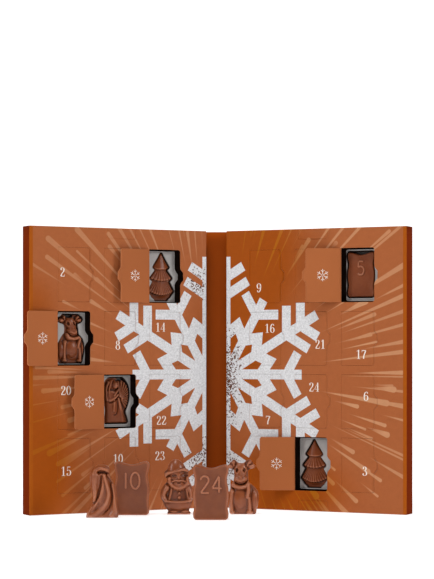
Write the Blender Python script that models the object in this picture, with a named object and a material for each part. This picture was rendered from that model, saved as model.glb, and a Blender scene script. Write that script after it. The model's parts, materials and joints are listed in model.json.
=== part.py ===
# Book-shaped advent calendar standing open: two trays of doors, a spine and the chocolates.
import bpy
import bmesh
from math import cos, sin, radians, pi
from mathutils import Matrix, Vector
from mathutils.geometry import tessellate_polygon

# driving dimensions, metres and degrees
leaf_width = 0.205
leaf_height = 0.297
leaf_depth = 0.018
card = 0.0007                 # printed card
gap = 0.0003                  # air between pieces that touch
spine_width = 0.0368
spine_card = 0.001
hinge_line_x = spine_width / 2 + gap          # leaf hinge, each side of the middle
hinge_line_y = -(spine_card / 2 + gap)        # leaf hinge, in front of the spine's middle
left_leaf_angle = 28.2        # each leaf, from lying flat
right_leaf_angle = 25.6

row_middle_shares = (0.83367, 0.61111, 0.38889, 0.16633)    # of the leaf's height
left_fold_shares = (-0.84780, -0.59122, -0.33463)           # window edges that the doors
right_fold_shares = (0.13366, 0.39024, 0.64683)             # fold on, of the leaf's width
row_bar = 0.0098              # card left between two rows of windows
row_centres = [leaf_height * share for share in row_middle_shares]
left_hinges = [leaf_width * share for share in left_fold_shares]
right_hinges = [leaf_width * share for share in right_fold_shares]

door_width = 0.0366
door_height = row_centres[1] - row_centres[2] - row_bar
door_corner = 0.0025
tab_reach = 0.0036
tab_root_half = 0.0095
tab_end_half = 0.0038
corner_steps = 3
left_open_angle = 170.0
right_open_angle = 158.0

lock_middle = 0.101           # lock tab, from the gutter edge
lock_width = 0.0344
lock_height = 0.0114
flap_front_clear = 0.001      # end flap's edge behind the front face
flap_root_share = 0.75        # how deep the lock tab's root reaches, of the leaf

tray_sheet = 0.0004
tray_margin = 0.0014
tray_base_front = 0.0016      # depths from the back of the leaf
tray_land_front = 0.0090
pocket_floor_front = 0.0023
island_inset = 0.0013
pocket_clear = 0.0005

sweet_side_clear = 0.0031     # door's edge to the widest chocolate
sweet_width = door_width - 2 * sweet_side_clear
sweet_depth = 0.0088
sweet_side_share = 0.45       # height of the upright side, of the depth
sweet_top_share = 0.66        # width of the raised face, of the outline
sweet_end_inset = 0.0024      # raised face, from the foot and the crown
loose_depth = 0.0100

left_numbers = ((2, 18, 5), (11, 8, 14), (20, 1, 22), (15, 10, 23))
right_numbers = ((9, 4, 19), (16, 21, 17), (7, 24, 6), (12, 13, 3))
open_doors = (5, 11, 1, 19, 13)

# outlines: share of the height, then of half the width to the left and to the right
outline_shares = {
    'tree': ((0, .43, .43), (.04, .53, .53), (.12, .76, .76), (.20, .93, .93), (.41, .39, .39),
             (.47, .77, .77), (.67, .29, .29), (.72, .60, .60), (1, .08, .08)),
    'reindeer': ((0, .70, .70), (.08, .80, .80), (.18, .90, .90), (.34, .93, .93), (.46, .80, .80),
                 (.55, .58, .58), (.61, .44, .44), (.80, .50, .50), (.86, .88, .88),
                 (.94, .86, .86), (1, .56, .56)),
    'angel': ((0, .79, .76), (.06, .87, .84), (.30, .65, .66), (.50, .66, .90),
              (.70, .74, .95), (.86, .72, .91), (.94, .55, .72), (1, .26, .40)),
    'slab': ((0, .87, .87), (.05, 1, 1), (.20, .95, .95), (.42, 1, 1),
             (.62, 1, 1), (.82, .95, .95), (.95, 1, 1), (1, .86, .86)),
    'figure': ((0, .68, .68), (.05, .66, .66), (.11, .84, .84), (.28, 1, 1), (.40, 1, 1),
               (.50, .90, .90), (.60, .66, .64), (.66, .64, .60), (.70, .86, .66), (.78, .84, .64),
               (.84, .66, .56), (.93, .46, .32), (1, .17, .05)),
    'sack': ((0, .95, .95), (.11, .88, .95), (.24, .64, .91), (.37, .55, .86), (.52, .62, .82),
             (.66, .73, .72), (.79, .73, .50), (.92, .62, .43), (.98, .40, .30), (1, .22, .13)),
}
# each chocolate: kind, height and foot above the window's lower edge, of the door's height
pocket_sweet_shares = {
    5: ('tree', .8861, .0534), 11: ('reindeer', .8861, .0534), 1: ('angel', .8452, .0925),
    19: ('slab', .8452, .0925), 13: ('tree', .8790, .0605), 18: ('slab', .8683, .0676),
    8: ('tree', .8790, .0605), 14: ('sack', .8790, .0605), 20: ('figure', .8790, .0605),
    22: ('angel', .8683, .0676), 23: ('reindeer', .8790, .0605), 4: ('tree', .8790, .0605),
    16: ('figure', .8790, .0605), 21: ('angel', .8683, .0676), 17: ('sack', .8790, .0605),
    7: ('slab', .8683, .0676), 6: ('reindeer', .8790, .0605), 12: ('figure', .8790, .0605),
    3: ('sack', .8790, .0605),
}
# standing in front: kind, width share, height share of the door, middle x and front y of the leaf's width
loose_sweet_shares = {
    2: ('sack', 1.10, .9520, -.5663, -.7024), 10: ('slab', 1.19, .9875, -.4210, -.5585),
    15: ('figure', 1.11, 1.0053, -.1976, -.5146), 24: ('slab', 1.18, .9875, -.0249, -.8244),
    9: ('reindeer', 1.08, .9964, .1371, -.5024),
}
empty_pockets = {2: 'sack', 10: 'slab', 15: 'figure', 24: 'slab', 9: 'reindeer'}
empty_pocket_shares = (.8790, .0605)          # height and foot, of the door's height


def material(obj, colour, rough):
    mat = bpy.data.materials.new(obj.name + '_material')
    mat.use_nodes = True
    shader = mat.node_tree.nodes['Principled BSDF']
    shader.inputs['Base Color'].default_value = (*colour, 1)
    shader.inputs['Roughness'].default_value = rough
    obj.data.materials.append(mat)


def solid(name, build, place, colour, rough):
    bm = bmesh.new()
    build(bm)
    bmesh.ops.remove_doubles(bm, verts=bm.verts, dist=0.000001)
    bmesh.ops.recalc_face_normals(bm, faces=bm.faces)
    mesh = bpy.data.meshes.new(name)
    bm.to_mesh(mesh)
    bm.free()
    obj = bpy.data.objects.new(name, mesh)
    bpy.context.scene.collection.objects.link(obj)
    obj.matrix_world = place
    material(obj, colour, rough)
    return obj


def cap(bm, loops, depth):
    # flat face with holes at one depth; loops are lists of (x, z)
    points = [p for loop in loops for p in loop]
    flat = [[Vector((x, z, 0)) / card for x, z in loop] for loop in loops]
    for a, b, c in tessellate_polygon(flat):
        tri = [points[i] for i in (a, b, c)]
        bm.faces.new([bm.verts.new((x, -depth, z)) for x, z in tri])


def wall(bm, loop, depth_a, depth_b):
    for i, (x0, z0) in enumerate(loop):
        x1, z1 = loop[(i + 1) % len(loop)]
        corners = ((x0, depth_a, z0), (x1, depth_a, z1), (x1, depth_b, z1), (x0, depth_b, z0))
        bm.faces.new([bm.verts.new((x, -d, z)) for x, d, z in corners])


def block(bm, low, high):
    loop = ((low[0], low[2]), (high[0], low[2]), (high[0], high[2]), (low[0], high[2]))
    cap(bm, [loop], -low[1])
    cap(bm, [loop], -high[1])
    wall(bm, loop, -low[1], -high[1])


def join(obj, blocks):
    # adds boxes to a solid; each box is a pair of corners in the solid's own frame
    for low, high in blocks:
        cutter = solid('joining_box', lambda bm: block(bm, low, high), obj.matrix_world.copy(),
                       (.5, .5, .5), .5)
        cutter.hide_render = True
        cutter.display_type = 'WIRE'
        mod = obj.modifiers.new('join', 'BOOLEAN')
        mod.operation = 'UNION'
        mod.solver = 'EXACT'
        mod.object = cutter
        bpy.context.view_layer.objects.active = obj
        bpy.ops.object.modifier_apply(modifier=mod.name)
        bpy.data.objects.remove(cutter)


def door_outline(grow):
    # hinge edge at x = 0, thumb tab on the free edge; grow moves the outline outward
    w = door_width + gap + grow
    h = door_height / 2 + grow
    turn = [i * pi / 2 / corner_steps for i in range(corner_steps + 1)]
    low = [(w - door_corner + door_corner * sin(t), -h + door_corner - door_corner * cos(t))
           for t in turn]
    high = [(x, -z) for x, z in reversed(low)]
    tab = [(w, -tab_root_half - grow), (w + tab_reach, -tab_end_half - grow),
           (w + tab_reach, tab_end_half + grow), (w, tab_root_half + grow)]
    return [(gap - grow, -h)] + low + tab + high + [(gap - grow, h)]


def moved(loop, x, z):
    return [(px + x, pz + z) for px, pz in loop]


def grown(loop, amount):
    # offset of a counter-clockwise loop along the mean of its two edge normals
    out = []
    for i, (x, z) in enumerate(loop):
        x0, z0 = loop[i - 1]
        x1, z1 = loop[(i + 1) % len(loop)]
        a = Vector((z - z0, x0 - x)).normalized()
        b = Vector((z1 - z, x - x1)).normalized()
        mid = (a + b).normalized()
        reach = amount / max(mid.dot(a), 0.6)
        out.append((x + mid.x * reach, z + mid.y * reach))
    return out


def sweet_outline(kind, width_share, height, end_inset=0):
    # counter-clockwise seen from the front, foot at z = 0
    squeeze = 1 - 2 * end_inset / height
    half = width_share * sweet_width / 2
    level = [(end_inset + share * height * squeeze, left * half, right * half)
             for share, left, right in outline_shares[kind]]
    right_side = [(right, z) for z, left, right in level]
    return right_side + [(-left, z) for z, left, right in reversed(level)]


def sweet_body(kind, width_share, height, depth):
    def build(bm):
        foot = sweet_outline(kind, width_share, height)
        top = sweet_outline(kind, width_share * sweet_top_share, height, sweet_end_inset)
        side = depth * sweet_side_share
        cap(bm, [foot], 0)
        wall(bm, foot, 0, side)
        for i, (x0, z0) in enumerate(foot):
            j = (i + 1) % len(foot)
            ring = ((x0, side, z0), (foot[j][0], side, foot[j][1]),
                    (top[j][0], depth, top[j][1]), (top[i][0], depth, top[i][1]))
            bm.faces.new([bm.verts.new((x, -d, z)) for x, d, z in ring])
        cap(bm, [top], depth)
    return build


def leaf_x(side, distance):
    return side * distance


def span(side, near, far):
    a, b = leaf_x(side, near), leaf_x(side, far)
    return min(a, b), max(a, b)


def carton(name, side, hinges, place):
    # front panel with twelve windows and lock tab notches, and a wall along each long edge
    x0, x1 = span(side, 0, leaf_width)
    n0, n1 = span(side, lock_middle - lock_width / 2 - gap, lock_middle + lock_width / 2 + gap)
    notch = lock_height + gap
    inner = [(x0 + card, 0), (n0, 0), (n0, notch), (n1, notch), (n1, 0), (x1 - card, 0),
             (x1 - card, leaf_height), (n1, leaf_height), (n1, leaf_height - notch),
             (n0, leaf_height - notch), (n0, leaf_height), (x0 + card, leaf_height)]
    middle = len(inner) // 2
    rim = [(x0, 0)] + inner[:middle] + [(x1, 0), (x1, leaf_height)] + inner[middle:]
    rim.append((x0, leaf_height))
    windows = [moved(door_outline(gap), x, z) for z in row_centres for x in hinges]
    under, back = leaf_depth - card, card + gap

    def build(bm):
        cap(bm, [rim] + windows, leaf_depth)
        cap(bm, [inner] + windows, under)
        for loop in [rim] + windows:
            wall(bm, loop, leaf_depth, under)
        for a, b in ((x0, x0 + card), (x1 - card, x1)):
            strip = [(a, 0), (b, 0), (b, leaf_height), (a, leaf_height)]
            wall(bm, strip, under, back)
            cap(bm, [strip], back)
    return solid(name, build, place, (.42, .13, .03), .45)


def end_flap(name, side, top, place):
    # end wall with a lock tab folded over the front face
    a, b = span(side, card + gap, leaf_width - card - gap)
    n0, n1 = span(side, lock_middle - lock_width / 2, lock_middle + lock_width / 2)
    z0, z1 = (leaf_height - card, leaf_height) if top else (0, card)
    t0, t1 = (leaf_height - lock_height, leaf_height) if top else (0, lock_height)
    back = -(card + gap)
    front = -(leaf_depth - flap_front_clear)
    obj = solid(name, lambda bm: block(bm, (a, front, z0), (b, back, z1)), place,
                (.42, .13, .03), .45)
    join(obj, [((n0, -leaf_depth, z0), (n1, front * flap_root_share, z1)),
               ((n0, -leaf_depth, t0), (n1, -(leaf_depth - card), t1))])
    return obj


def tray(name, side, hinges, numbers, place):
    # thin formed sheet: twelve raised islands, each with a pocket shaped like its chocolate
    a, b = span(side, tray_margin, leaf_width - tray_margin)
    rim = [(a, tray_margin), (b, tray_margin), (b, leaf_height - tray_margin),
           (a, leaf_height - tray_margin)]
    cells = []
    for row, z in enumerate(row_centres):
        for column, x in enumerate(hinges):
            number = numbers[row][column]
            island = moved(door_outline(-island_inset), x, z)
            if number in pocket_sweet_shares:
                kind, height, foot = pocket_sweet(number)
            else:
                kind = empty_pockets[number]
                height, foot = [door_height * share for share in empty_pocket_shares]
            shape = moved(sweet_outline(kind, 1, height), *sweet_spot(x, z, foot))
            cells.append((island, grown(shape, pocket_clear)))

    def build(bm):
        # front side and back side of the sheet; the back side is one sheet further back
        inner = [(grown(island, -tray_sheet), grown(pocket, tray_sheet)) for island, pocket in cells]
        for rings, back in ((cells, 0), (inner, tray_sheet)):
            base, land = tray_base_front - back, tray_land_front - back
            floor = pocket_floor_front - back
            cap(bm, [rim] + [island for island, pocket in rings], base)
            for island, pocket in rings:
                wall(bm, island, base, land)
                cap(bm, [island, pocket], land)
                wall(bm, pocket, land, floor)
                cap(bm, [pocket], floor)
        wall(bm, rim, tray_base_front, tray_base_front - tray_sheet)
    return solid(name, build, place, (.03, .027, .025), .25)


def pocket_sweet(number):
    kind, height_share, foot_share = pocket_sweet_shares[number]
    return kind, door_height * height_share, door_height * foot_share


def sweet_spot(x, z, foot):
    return x + gap + door_width / 2, z - door_height / 2 + foot


def door(name, angle, place):
    outline = door_outline(0)

    def build(bm):
        cap(bm, [outline], 0)
        cap(bm, [outline], -card)
        wall(bm, outline, 0, -card)
    return solid(name, build, place @ Matrix.Rotation(-radians(angle), 4, 'Z'), (.40, .13, .04), .5)


def leaf(side_name, side, angle, hinges, numbers, open_angle):
    turn = Matrix.Rotation(-side * radians(angle), 4, 'Z')
    place = Matrix.Translation((side * hinge_line_x, hinge_line_y, 0)) @ turn
    carton(side_name + '_carton', side, hinges, place)
    a, b = span(side, 0, leaf_width)
    solid(side_name + '_back_cover', lambda bm: block(bm, (a, -card, 0), (b, 0, leaf_height)),
          place, (.30, .08, .02), .5)
    tray(side_name + '_tray', side, hinges, numbers, place)
    end_flap(side_name + '_top_flap', side, True, place)
    end_flap(side_name + '_bottom_flap', side, False, place)
    for row, z in enumerate(row_centres):
        for column, x in enumerate(hinges):
            number = numbers[row][column]
            fold = place @ Matrix.Translation((x, -leaf_depth, z))
            door('door_%02d' % number, open_angle if number in open_doors else 0, fold)
            if number in pocket_sweet_shares:
                kind, height, foot = pocket_sweet(number)
                sx, sz = sweet_spot(x, z, foot)
                seat = place @ Matrix.Translation((sx, -(pocket_floor_front + gap), sz))
                solid('chocolate_%02d_%s' % (number, kind),
                      sweet_body(kind, 1, height, sweet_depth), seat, (.10, .035, .015), .35)


def clear_scene():
    for obj in list(bpy.data.objects):
        bpy.data.objects.remove(obj)


def main():
    clear_scene()
    half = spine_width / 2
    depth = spine_card / 2
    solid('spine_panel', lambda bm: block(bm, (-half, -depth, 0), (half, depth, leaf_height)),
          Matrix.Identity(4), (.25, .07, .015), .5)
    leaf('left', -1, left_leaf_angle, left_hinges, left_numbers, left_open_angle)
    leaf('right', 1, right_leaf_angle, right_hinges, right_numbers, right_open_angle)
    for number, (kind, width_share, height_share, x_share, y_share) in loose_sweet_shares.items():
        front = leaf_width * y_share
        spot = Matrix.Translation((leaf_width * x_share, front + loose_depth, 0))
        solid('chocolate_%02d_%s' % (number, kind),
              sweet_body(kind, width_share, door_height * height_share, loose_depth), spot,
              (.10, .035, .015), .35)


main()
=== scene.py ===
import bpy
import bmesh
import json
import numpy as np
from math import radians, sin, cos, pi, sqrt
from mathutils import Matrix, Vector


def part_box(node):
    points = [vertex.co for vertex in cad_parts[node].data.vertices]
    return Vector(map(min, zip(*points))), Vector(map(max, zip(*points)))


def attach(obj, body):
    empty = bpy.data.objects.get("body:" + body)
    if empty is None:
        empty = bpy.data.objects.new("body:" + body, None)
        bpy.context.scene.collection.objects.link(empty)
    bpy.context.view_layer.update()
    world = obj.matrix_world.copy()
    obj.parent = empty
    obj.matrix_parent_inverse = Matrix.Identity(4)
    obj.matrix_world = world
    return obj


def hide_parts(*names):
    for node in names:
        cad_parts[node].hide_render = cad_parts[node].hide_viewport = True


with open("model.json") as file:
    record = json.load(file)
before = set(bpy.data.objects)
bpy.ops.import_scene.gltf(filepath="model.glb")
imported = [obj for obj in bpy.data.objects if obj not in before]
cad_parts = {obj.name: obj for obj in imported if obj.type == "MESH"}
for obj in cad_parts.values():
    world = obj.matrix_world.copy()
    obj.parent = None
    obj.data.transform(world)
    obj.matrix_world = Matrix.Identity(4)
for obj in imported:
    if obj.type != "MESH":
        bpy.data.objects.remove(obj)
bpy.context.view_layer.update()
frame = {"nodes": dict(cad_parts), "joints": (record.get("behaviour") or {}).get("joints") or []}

mm = 0.001                     # shapes below are in millimetres, meshes in metres
joints = {joint["name"]: joint for joint in frame["joints"]}
scene = bpy.context.scene
scene.view_settings.view_transform = 'Standard'
scene.view_settings.look = 'None'

leafSizes = {
    'width': 205.0, 'height': 297.0, 'depth': 18.0, 'card': 0.7,
    'foldRadius': 0.9, 'creaseRadius': 0.42,
    'cellLead': 6.0,                   # a window's cell of the face starts this far before its fold
    'printCentre': 143.4,              # height of the snowflake's middle
    'rows': (247.6, 181.5, 115.5, 49.4),          # middles of the door rows
}
doorSizes = {
    'width': 36.6, 'height': 56.2, 'gap': 0.3, 'corner': 2.5,
    'seam': 0.2,                       # half of the cut line round a door
    'start': 0.2,                      # a door's card begins this far from its fold line
    'tabReach': 3.6, 'tabRoot': 9.5, 'tabEnd': 3.8,
}
leafNumbers = {
    'left': ((2, 18, 5), (11, 8, 14), (20, 1, 22), (15, 10, 23)),
    'right': ((9, 4, 19), (16, 21, 17), (7, 24, 6), (12, 13, 3)),
}
openDoors = (5, 11, 1, 19, 13)


# Meshes: points are worked out in millimetres, and each piece becomes one object.

def gridQuads(rows, columns, wrap=False):
    # quads of a rows by columns grid of points, the columns closed in a ring if wrap
    r, c = np.meshgrid(np.arange(rows - 1), np.arange(columns if wrap else columns - 1),
                       indexing='ij')
    a = r * columns + c
    b = r * columns + (c + 1) % columns
    return np.stack([a, b, b + columns, a + columns], -1).reshape(-1, 4)


def editMesh(mesh, change):
    # runs one bmesh operation on a mesh
    shell = bmesh.new()
    shell.from_mesh(mesh)
    change(shell)
    shell.to_mesh(mesh)
    shell.free()


def addPiece(name, points, faces, material, body, nodes=(), uv=None, smooth=True,
             marks=None, recalc=False):
    # points in millimetres in the object's frame; uv and marks hold one row for each point
    mesh = bpy.data.meshes.new(name)
    mesh.from_pydata((np.asarray(points) * mm).tolist(), [], [list(map(int, f)) for f in faces])
    corner = np.zeros(len(mesh.loops), np.int32)
    mesh.loops.foreach_get('vertex_index', corner)
    if uv is not None:
        layer = mesh.uv_layers.new(name='printMap')
        layer.data.foreach_set('uv', np.asarray(uv, np.float32)[corner].ravel())
    for markName, values in (marks or {}).items():
        attribute = mesh.attributes.new(markName, 'FLOAT', 'POINT')
        attribute.data.foreach_set('value', np.asarray(values, np.float32).ravel())
    mesh.polygons.foreach_set('use_smooth', [smooth] * len(mesh.polygons))
    if recalc:
        editMesh(mesh, lambda shell: bmesh.ops.recalc_face_normals(shell, faces=shell.faces))
    piece = bpy.data.objects.new(name, mesh)
    scene.collection.objects.link(piece)
    for finish in (material if isinstance(material, (list, tuple)) else [material]):
        mesh.materials.append(finish)
    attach(piece, body)
    if nodes:
        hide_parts(*nodes)
    return piece


def sweep(across, depth, z, wrap=False):
    # a level profile carried up from height to height
    rows, columns = len(z), len(across)
    points = np.stack([np.tile(across, rows), np.tile(depth, rows), np.repeat(z, columns)], -1)
    return points, gridQuads(rows, columns, wrap)


def joinParts(parts):
    # stacks (points, faces) pairs into one
    points, faces, start = [], [], 0
    for somePoints, someFaces in parts:
        points.append(np.asarray(somePoints, float).reshape(-1, 3))
        faces += [[int(i) + start for i in f] for f in someFaces]
        start += len(points[-1])
    return np.concatenate(points), faces


def solidify(piece, thickness, rimMaterial, backMaterial, even=True):
    # gives a sheet its thickness, backwards from the face that is seen
    skin = piece.modifiers.new('card', 'SOLIDIFY')
    skin.thickness = thickness * mm
    skin.offset = -1
    skin.material_offset_rim = rimMaterial
    skin.material_offset = backMaterial
    skin.use_even_offset = even


def turnOutward(piece, direction):
    # flips a sheet whose first face looks the wrong way
    if np.dot(np.array(piece.data.polygons[0].normal), direction) < 0:
        piece.data.flip_normals()


def turnEach(piece, direction):
    # flips every face that looks the wrong way, on a piece of many loose flat parts
    for polygon in piece.data.polygons:
        if np.dot(np.array(polygon.normal), direction) < 0:
            polygon.flip()
    piece.data.update()


# Places: the leaves and doors as turned frames of millimetre coordinates.

class Place:
    # a frame of millimetre coordinates: x to the right, y away from the reader, z up
    def __init__(self, origin, across, into):
        self.origin, self.across, self.into = (np.asarray(v, float) for v in (origin, across, into))

    def world(self, points):
        p = np.asarray(points, float).reshape(-1, 3)
        flat = p[:, :1] * self.across + p[:, 1:2] * self.into
        return self.origin + flat + p[:, 2:] * np.array([0, 0, 1.0])

    def moved(self, x, y, z, turn=0.0):
        # turn in degrees, clockwise from above, which opens a door
        a = radians(turn)
        across = self.across * cos(a) - self.into * sin(a)
        into = self.into * cos(a) + self.across * sin(a)
        return Place(self.world([[x, y, z]])[0], across, into)


def jointPlace(name):
    # where a joint turns, in millimetres
    return np.array(joints[name]['pos_m']) / mm


def leafPlace(tag):
    # a leaf's own frame: it starts at its fold and runs along its row of door hinges
    first = jointPlace('door_%02d_fold' % leafNumbers[tag][0][0])
    last = jointPlace('door_%02d_fold' % leafNumbers[tag][0][2])
    across = (last - first) / np.linalg.norm(last - first)
    fold = jointPlace(tag + '_leaf_fold')
    return Place([fold[0], fold[1], 0], across, [-across[1], across[0], 0])


places = {tag: leafPlace(tag) for tag in leafNumbers}


def hingeX(tag, number):
    # a door's fold line, across its leaf
    return float((jointPlace('door_%02d_fold' % number) - places[tag].origin) @ places[tag].across)


def printUv(x, z):
    # decimetres from the snowflake's middle, so the print runs on from piece to piece
    return np.stack([np.asarray(x) / 100, (np.asarray(z) - leafSizes['printCentre']) / 100], -1)


def doorEdge(z, grow=0.0):
    # free edge of a door at heights z from its middle: rounded corners and a thumb tab
    w = doorSizes['width'] + doorSizes['gap'] + grow
    r, top = doorSizes['corner'], doorSizes['height'] / 2 + grow
    a = np.abs(z)
    turn = np.clip(a - (top - r), 0, r)
    edge = w - r + np.sqrt(np.maximum(r * r - turn * turn, 0))
    root, end = doorSizes['tabRoot'] + grow, doorSizes['tabEnd'] + grow
    rise = np.clip((root - a) / (root - end), 0, 1)
    return edge + doorSizes['tabReach'] * rise * rise * (3 - 2 * rise) ** 0.3


def doorRows(grow=0.0):
    # heights at which a door's outline is sampled, dense at its corners and tab
    top = doorSizes['height'] / 2 + grow
    arc = top - doorSizes['corner'] * (1 - np.sin(np.linspace(0, pi / 2, 7)))
    tab = np.linspace(doorSizes['tabEnd'] * 0.8, doorSizes['tabRoot'] * 1.04, 9)
    plain = np.linspace(0, top, 17)
    half = np.unique(np.round(np.concatenate([plain, arc, tab]), 3))
    return np.concatenate([-half[:0:-1], half])


def doorLoop(grow):
    # closed outline of a door or window, anticlockwise, as points (x, z)
    z = doorRows(grow)
    free = np.stack([doorEdge(z, grow), z], -1)
    fold = np.stack([np.full(2, doorSizes['gap'] - grow), [z[-1], z[0]]], -1)
    return np.concatenate([free, fold])


# Shader nodes: short names for what the materials below are made of.

def mathNode(operation):
    # a method that adds one Math node
    def method(wire, *others):
        return wire.calc(operation, *others)
    return method


class Wire:
    # one number flowing through a node tree; arithmetic on it adds Math nodes
    def __init__(self, tree, socket):
        self.tree, self.socket = tree, socket

    def calc(self, operation, *others):
        node = self.tree.nodes.new('ShaderNodeMath')
        node.operation = operation
        for index, value in enumerate((self,) + others):
            plug(self.tree, value, node.inputs[index])
        return Wire(self.tree, node.outputs[0])

    __add__ = __radd__ = mathNode('ADD')
    __mul__ = __rmul__ = mathNode('MULTIPLY')
    __sub__ = mathNode('SUBTRACT')
    __truediv__ = mathNode('DIVIDE')
    least = mathNode('MINIMUM')
    most = mathNode('MAXIMUM')
    above = mathNode('GREATER_THAN')
    size = mathNode('ABSOLUTE')

    def __rsub__(self, other):
        return self * -1 + other

    def ramp(self, low, high):
        # 0 at low, 1 at high, smooth between
        node = self.tree.nodes.new('ShaderNodeMapRange')
        node.interpolation_type = 'SMOOTHSTEP'
        plug(self.tree, self, node.inputs['Value'])
        node.inputs['From Min'].default_value = low
        node.inputs['From Max'].default_value = high
        return Wire(self.tree, node.outputs['Result'])


def plug(tree, value, socket):
    # links a wire or a socket, or sets a plain value
    if isinstance(value, Wire):
        tree.links.new(value.socket, socket)
    elif isinstance(value, bpy.types.NodeSocket):
        tree.links.new(value, socket)
    else:
        socket.default_value = value


def newGroup(name, inputs, outputs):
    # inputs as (name, kind, value), outputs as names of plain numbers
    group = bpy.data.node_groups.new(name, 'ShaderNodeTree')
    for label, kind, value in inputs:
        socket = group.interface.new_socket(label, in_out='INPUT', socket_type=kind)
        if value is not None:
            socket.default_value = value
    for label in outputs:
        group.interface.new_socket(label, in_out='OUTPUT', socket_type='NodeSocketFloat')
    source, sink = group.nodes.new('NodeGroupInput'), group.nodes.new('NodeGroupOutput')
    return group, source, sink


def placeGroup(tree, group, **values):
    node = tree.nodes.new('ShaderNodeGroup')
    node.node_tree = group
    for label, value in values.items():
        plug(tree, value, node.inputs[label])
    return node


def mixColour(tree, factor, first, second, blend='MIX'):
    node = tree.nodes.new('ShaderNodeMix')
    node.data_type, node.blend_type = 'RGBA', blend
    plug(tree, factor, node.inputs[0])
    plug(tree, first, node.inputs[6])
    plug(tree, second, node.inputs[7])
    return node.outputs[2]


def noise(tree, vector, scale, detail=2.0, rough=0.5):
    node = tree.nodes.new('ShaderNodeTexNoise')
    plug(tree, vector, node.inputs['Vector'])
    plug(tree, scale, node.inputs['Scale'])
    node.inputs['Detail'].default_value = detail
    node.inputs['Roughness'].default_value = rough
    return Wire(tree, node.outputs['Fac'])


def bump(tree, height, strength, distance):
    node = tree.nodes.new('ShaderNodeBump')
    node.inputs['Strength'].default_value = strength
    node.inputs['Distance'].default_value = distance * mm
    plug(tree, height, node.inputs['Height'])
    return node.outputs['Normal']


def newMaterial(name, roughness, shine=0.5):
    material = bpy.data.materials.new(name)
    material.use_nodes = True
    tree = material.node_tree
    shader = tree.nodes['Principled BSDF']
    shader.inputs['Roughness'].default_value = roughness
    shader.inputs['Specular IOR Level'].default_value = shine
    return material, tree, shader


def rgb(red, green, blue):
    # screen colour, 0 to 255, as linear light
    return tuple((c / 255 / 12.92 if c < 10.4 else ((c / 255 + 0.055) / 1.055) ** 2.4)
                 for c in (red, green, blue)) + (1.0,)


def objectCoordinates(tree):
    return tree.nodes.new('ShaderNodeTexCoord').outputs['Object']


def splitVector(tree, vector):
    node = tree.nodes.new('ShaderNodeSeparateXYZ')
    plug(tree, vector, node.inputs[0])
    return [Wire(tree, node.outputs[i]) for i in range(3)]


def attributeValue(tree, name):
    node = tree.nodes.new('ShaderNodeAttribute')
    node.attribute_name = name
    return Wire(tree, node.outputs['Fac'])


# The print: sizes in millimetres from the middle of the open book.

snowflake = {
    'stretch': 1.037,          # across, as the print reads on the leaf
    'halfBar': 5.2, 'longTip': 126.0, 'shortTip': 91.3,
    'shortFork': (73.3, 26.6), 'longForks': ((84.4, 30.6), (103.6, 24.0)),
    'starTip': 63.4, 'starNotch': 49.5, 'kiteSide': 38.4, 'kiteTip': 44.9,
}
streakLayers = (
    # cells round the circle, seed, share left empty, then least and spread of the inner radius,
    # the outer radius and the half width
    {'cells': 97, 'seed': 3.7, 'skip': 0.10,
     'inner': (98, 52), 'outer': (158, 120), 'width': (1.2, 2.3)},
    {'cells': 61, 'seed': 8.1, 'skip': 0.35,
     'inner': (112, 60), 'outer': (140, 60), 'width': (1.1, 1.5)},
    {'cells': 79, 'seed': 5.3, 'skip': 0.25,
     'inner': (126, 66), 'outer': (186, 72), 'width': (1.3, 2.0)},
)
# across, up, the two spreads and the strength
# first the spots of painted sheen, where the copper-orange ink shows deeper orange, then those of
# the foil's flecks
warmSheenSpots = ((-205, -93, 62, 100, 1.0), (-200, 72, 32, 42, 0.55), (-2, 40, 34, 62, 0.45),
             (18, 130, 85, 95, 1.05), (6, 20, 44, 80, 0.8), (62, -122, 80, 40, 1.1))
fleckSpots = ((-11, 98, 10, 14, 0.44), (-9, -90, 14, 20, 0.44), (4, -4, 10, 40, 0.50),
              (4, -98, 12, 16, 0.30))


def branch(x, y, start, length):
    # signed distance inside a side bar that leaves an arm at 60 degrees
    s, c, h = sin(radians(60)), cos(radians(60)), snowflake['halfBar']
    along = (x - start) * c + y * s
    off = (y * c - (x - start) * s).size()
    return (h - off).least(along.least(length - along))


def cross(x, y, start, end):
    # signed distance to the left of the line from start to end
    dx, dy = end[0] - start[0], end[1] - start[1]
    size = sqrt(dx * dx + dy * dy)
    return (y - start[1]) * (dx / size) - (x - start[0]) * (dy / size)


def polarPoint(radius, angle):
    return radius * cos(radians(angle)), radius * sin(radians(angle))


def foilMask(radius, angle):
    # six long and six short arms with side bars, an inner star and kite-shaped holes
    h = snowflake['halfBar']
    inSector = angle.calc('PINGPONG', radians(30))
    x, y = radius * inSector.calc('COSINE'), radius * inSector.calc('SINE')
    short = (h - y).least(snowflake['shortTip'] - x).most(branch(x, y, *snowflake['shortFork']))
    c, s = cos(radians(30)), sin(radians(30))
    qx, qy = x * c + y * s, (x * s - y * c)
    long = (h - qy).least(snowflake['longTip'] - qx)
    for fork in snowflake['longForks']:
        long = long.most(branch(qx, qy, *fork))
    nearArm = angle.calc('PINGPONG', radians(15))
    px, py = radius * nearArm.calc('COSINE'), radius * nearArm.calc('SINE')
    star = cross(px, py, (snowflake['starNotch'], 0), polarPoint(snowflake['starTip'], 15))
    kite = cross(px, py, (snowflake['kiteSide'], h), polarPoint(snowflake['kiteTip'], 15))
    star = star.least(kite.least(py - h) * -1)
    return short.most(long).most(star).above(0)


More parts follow.
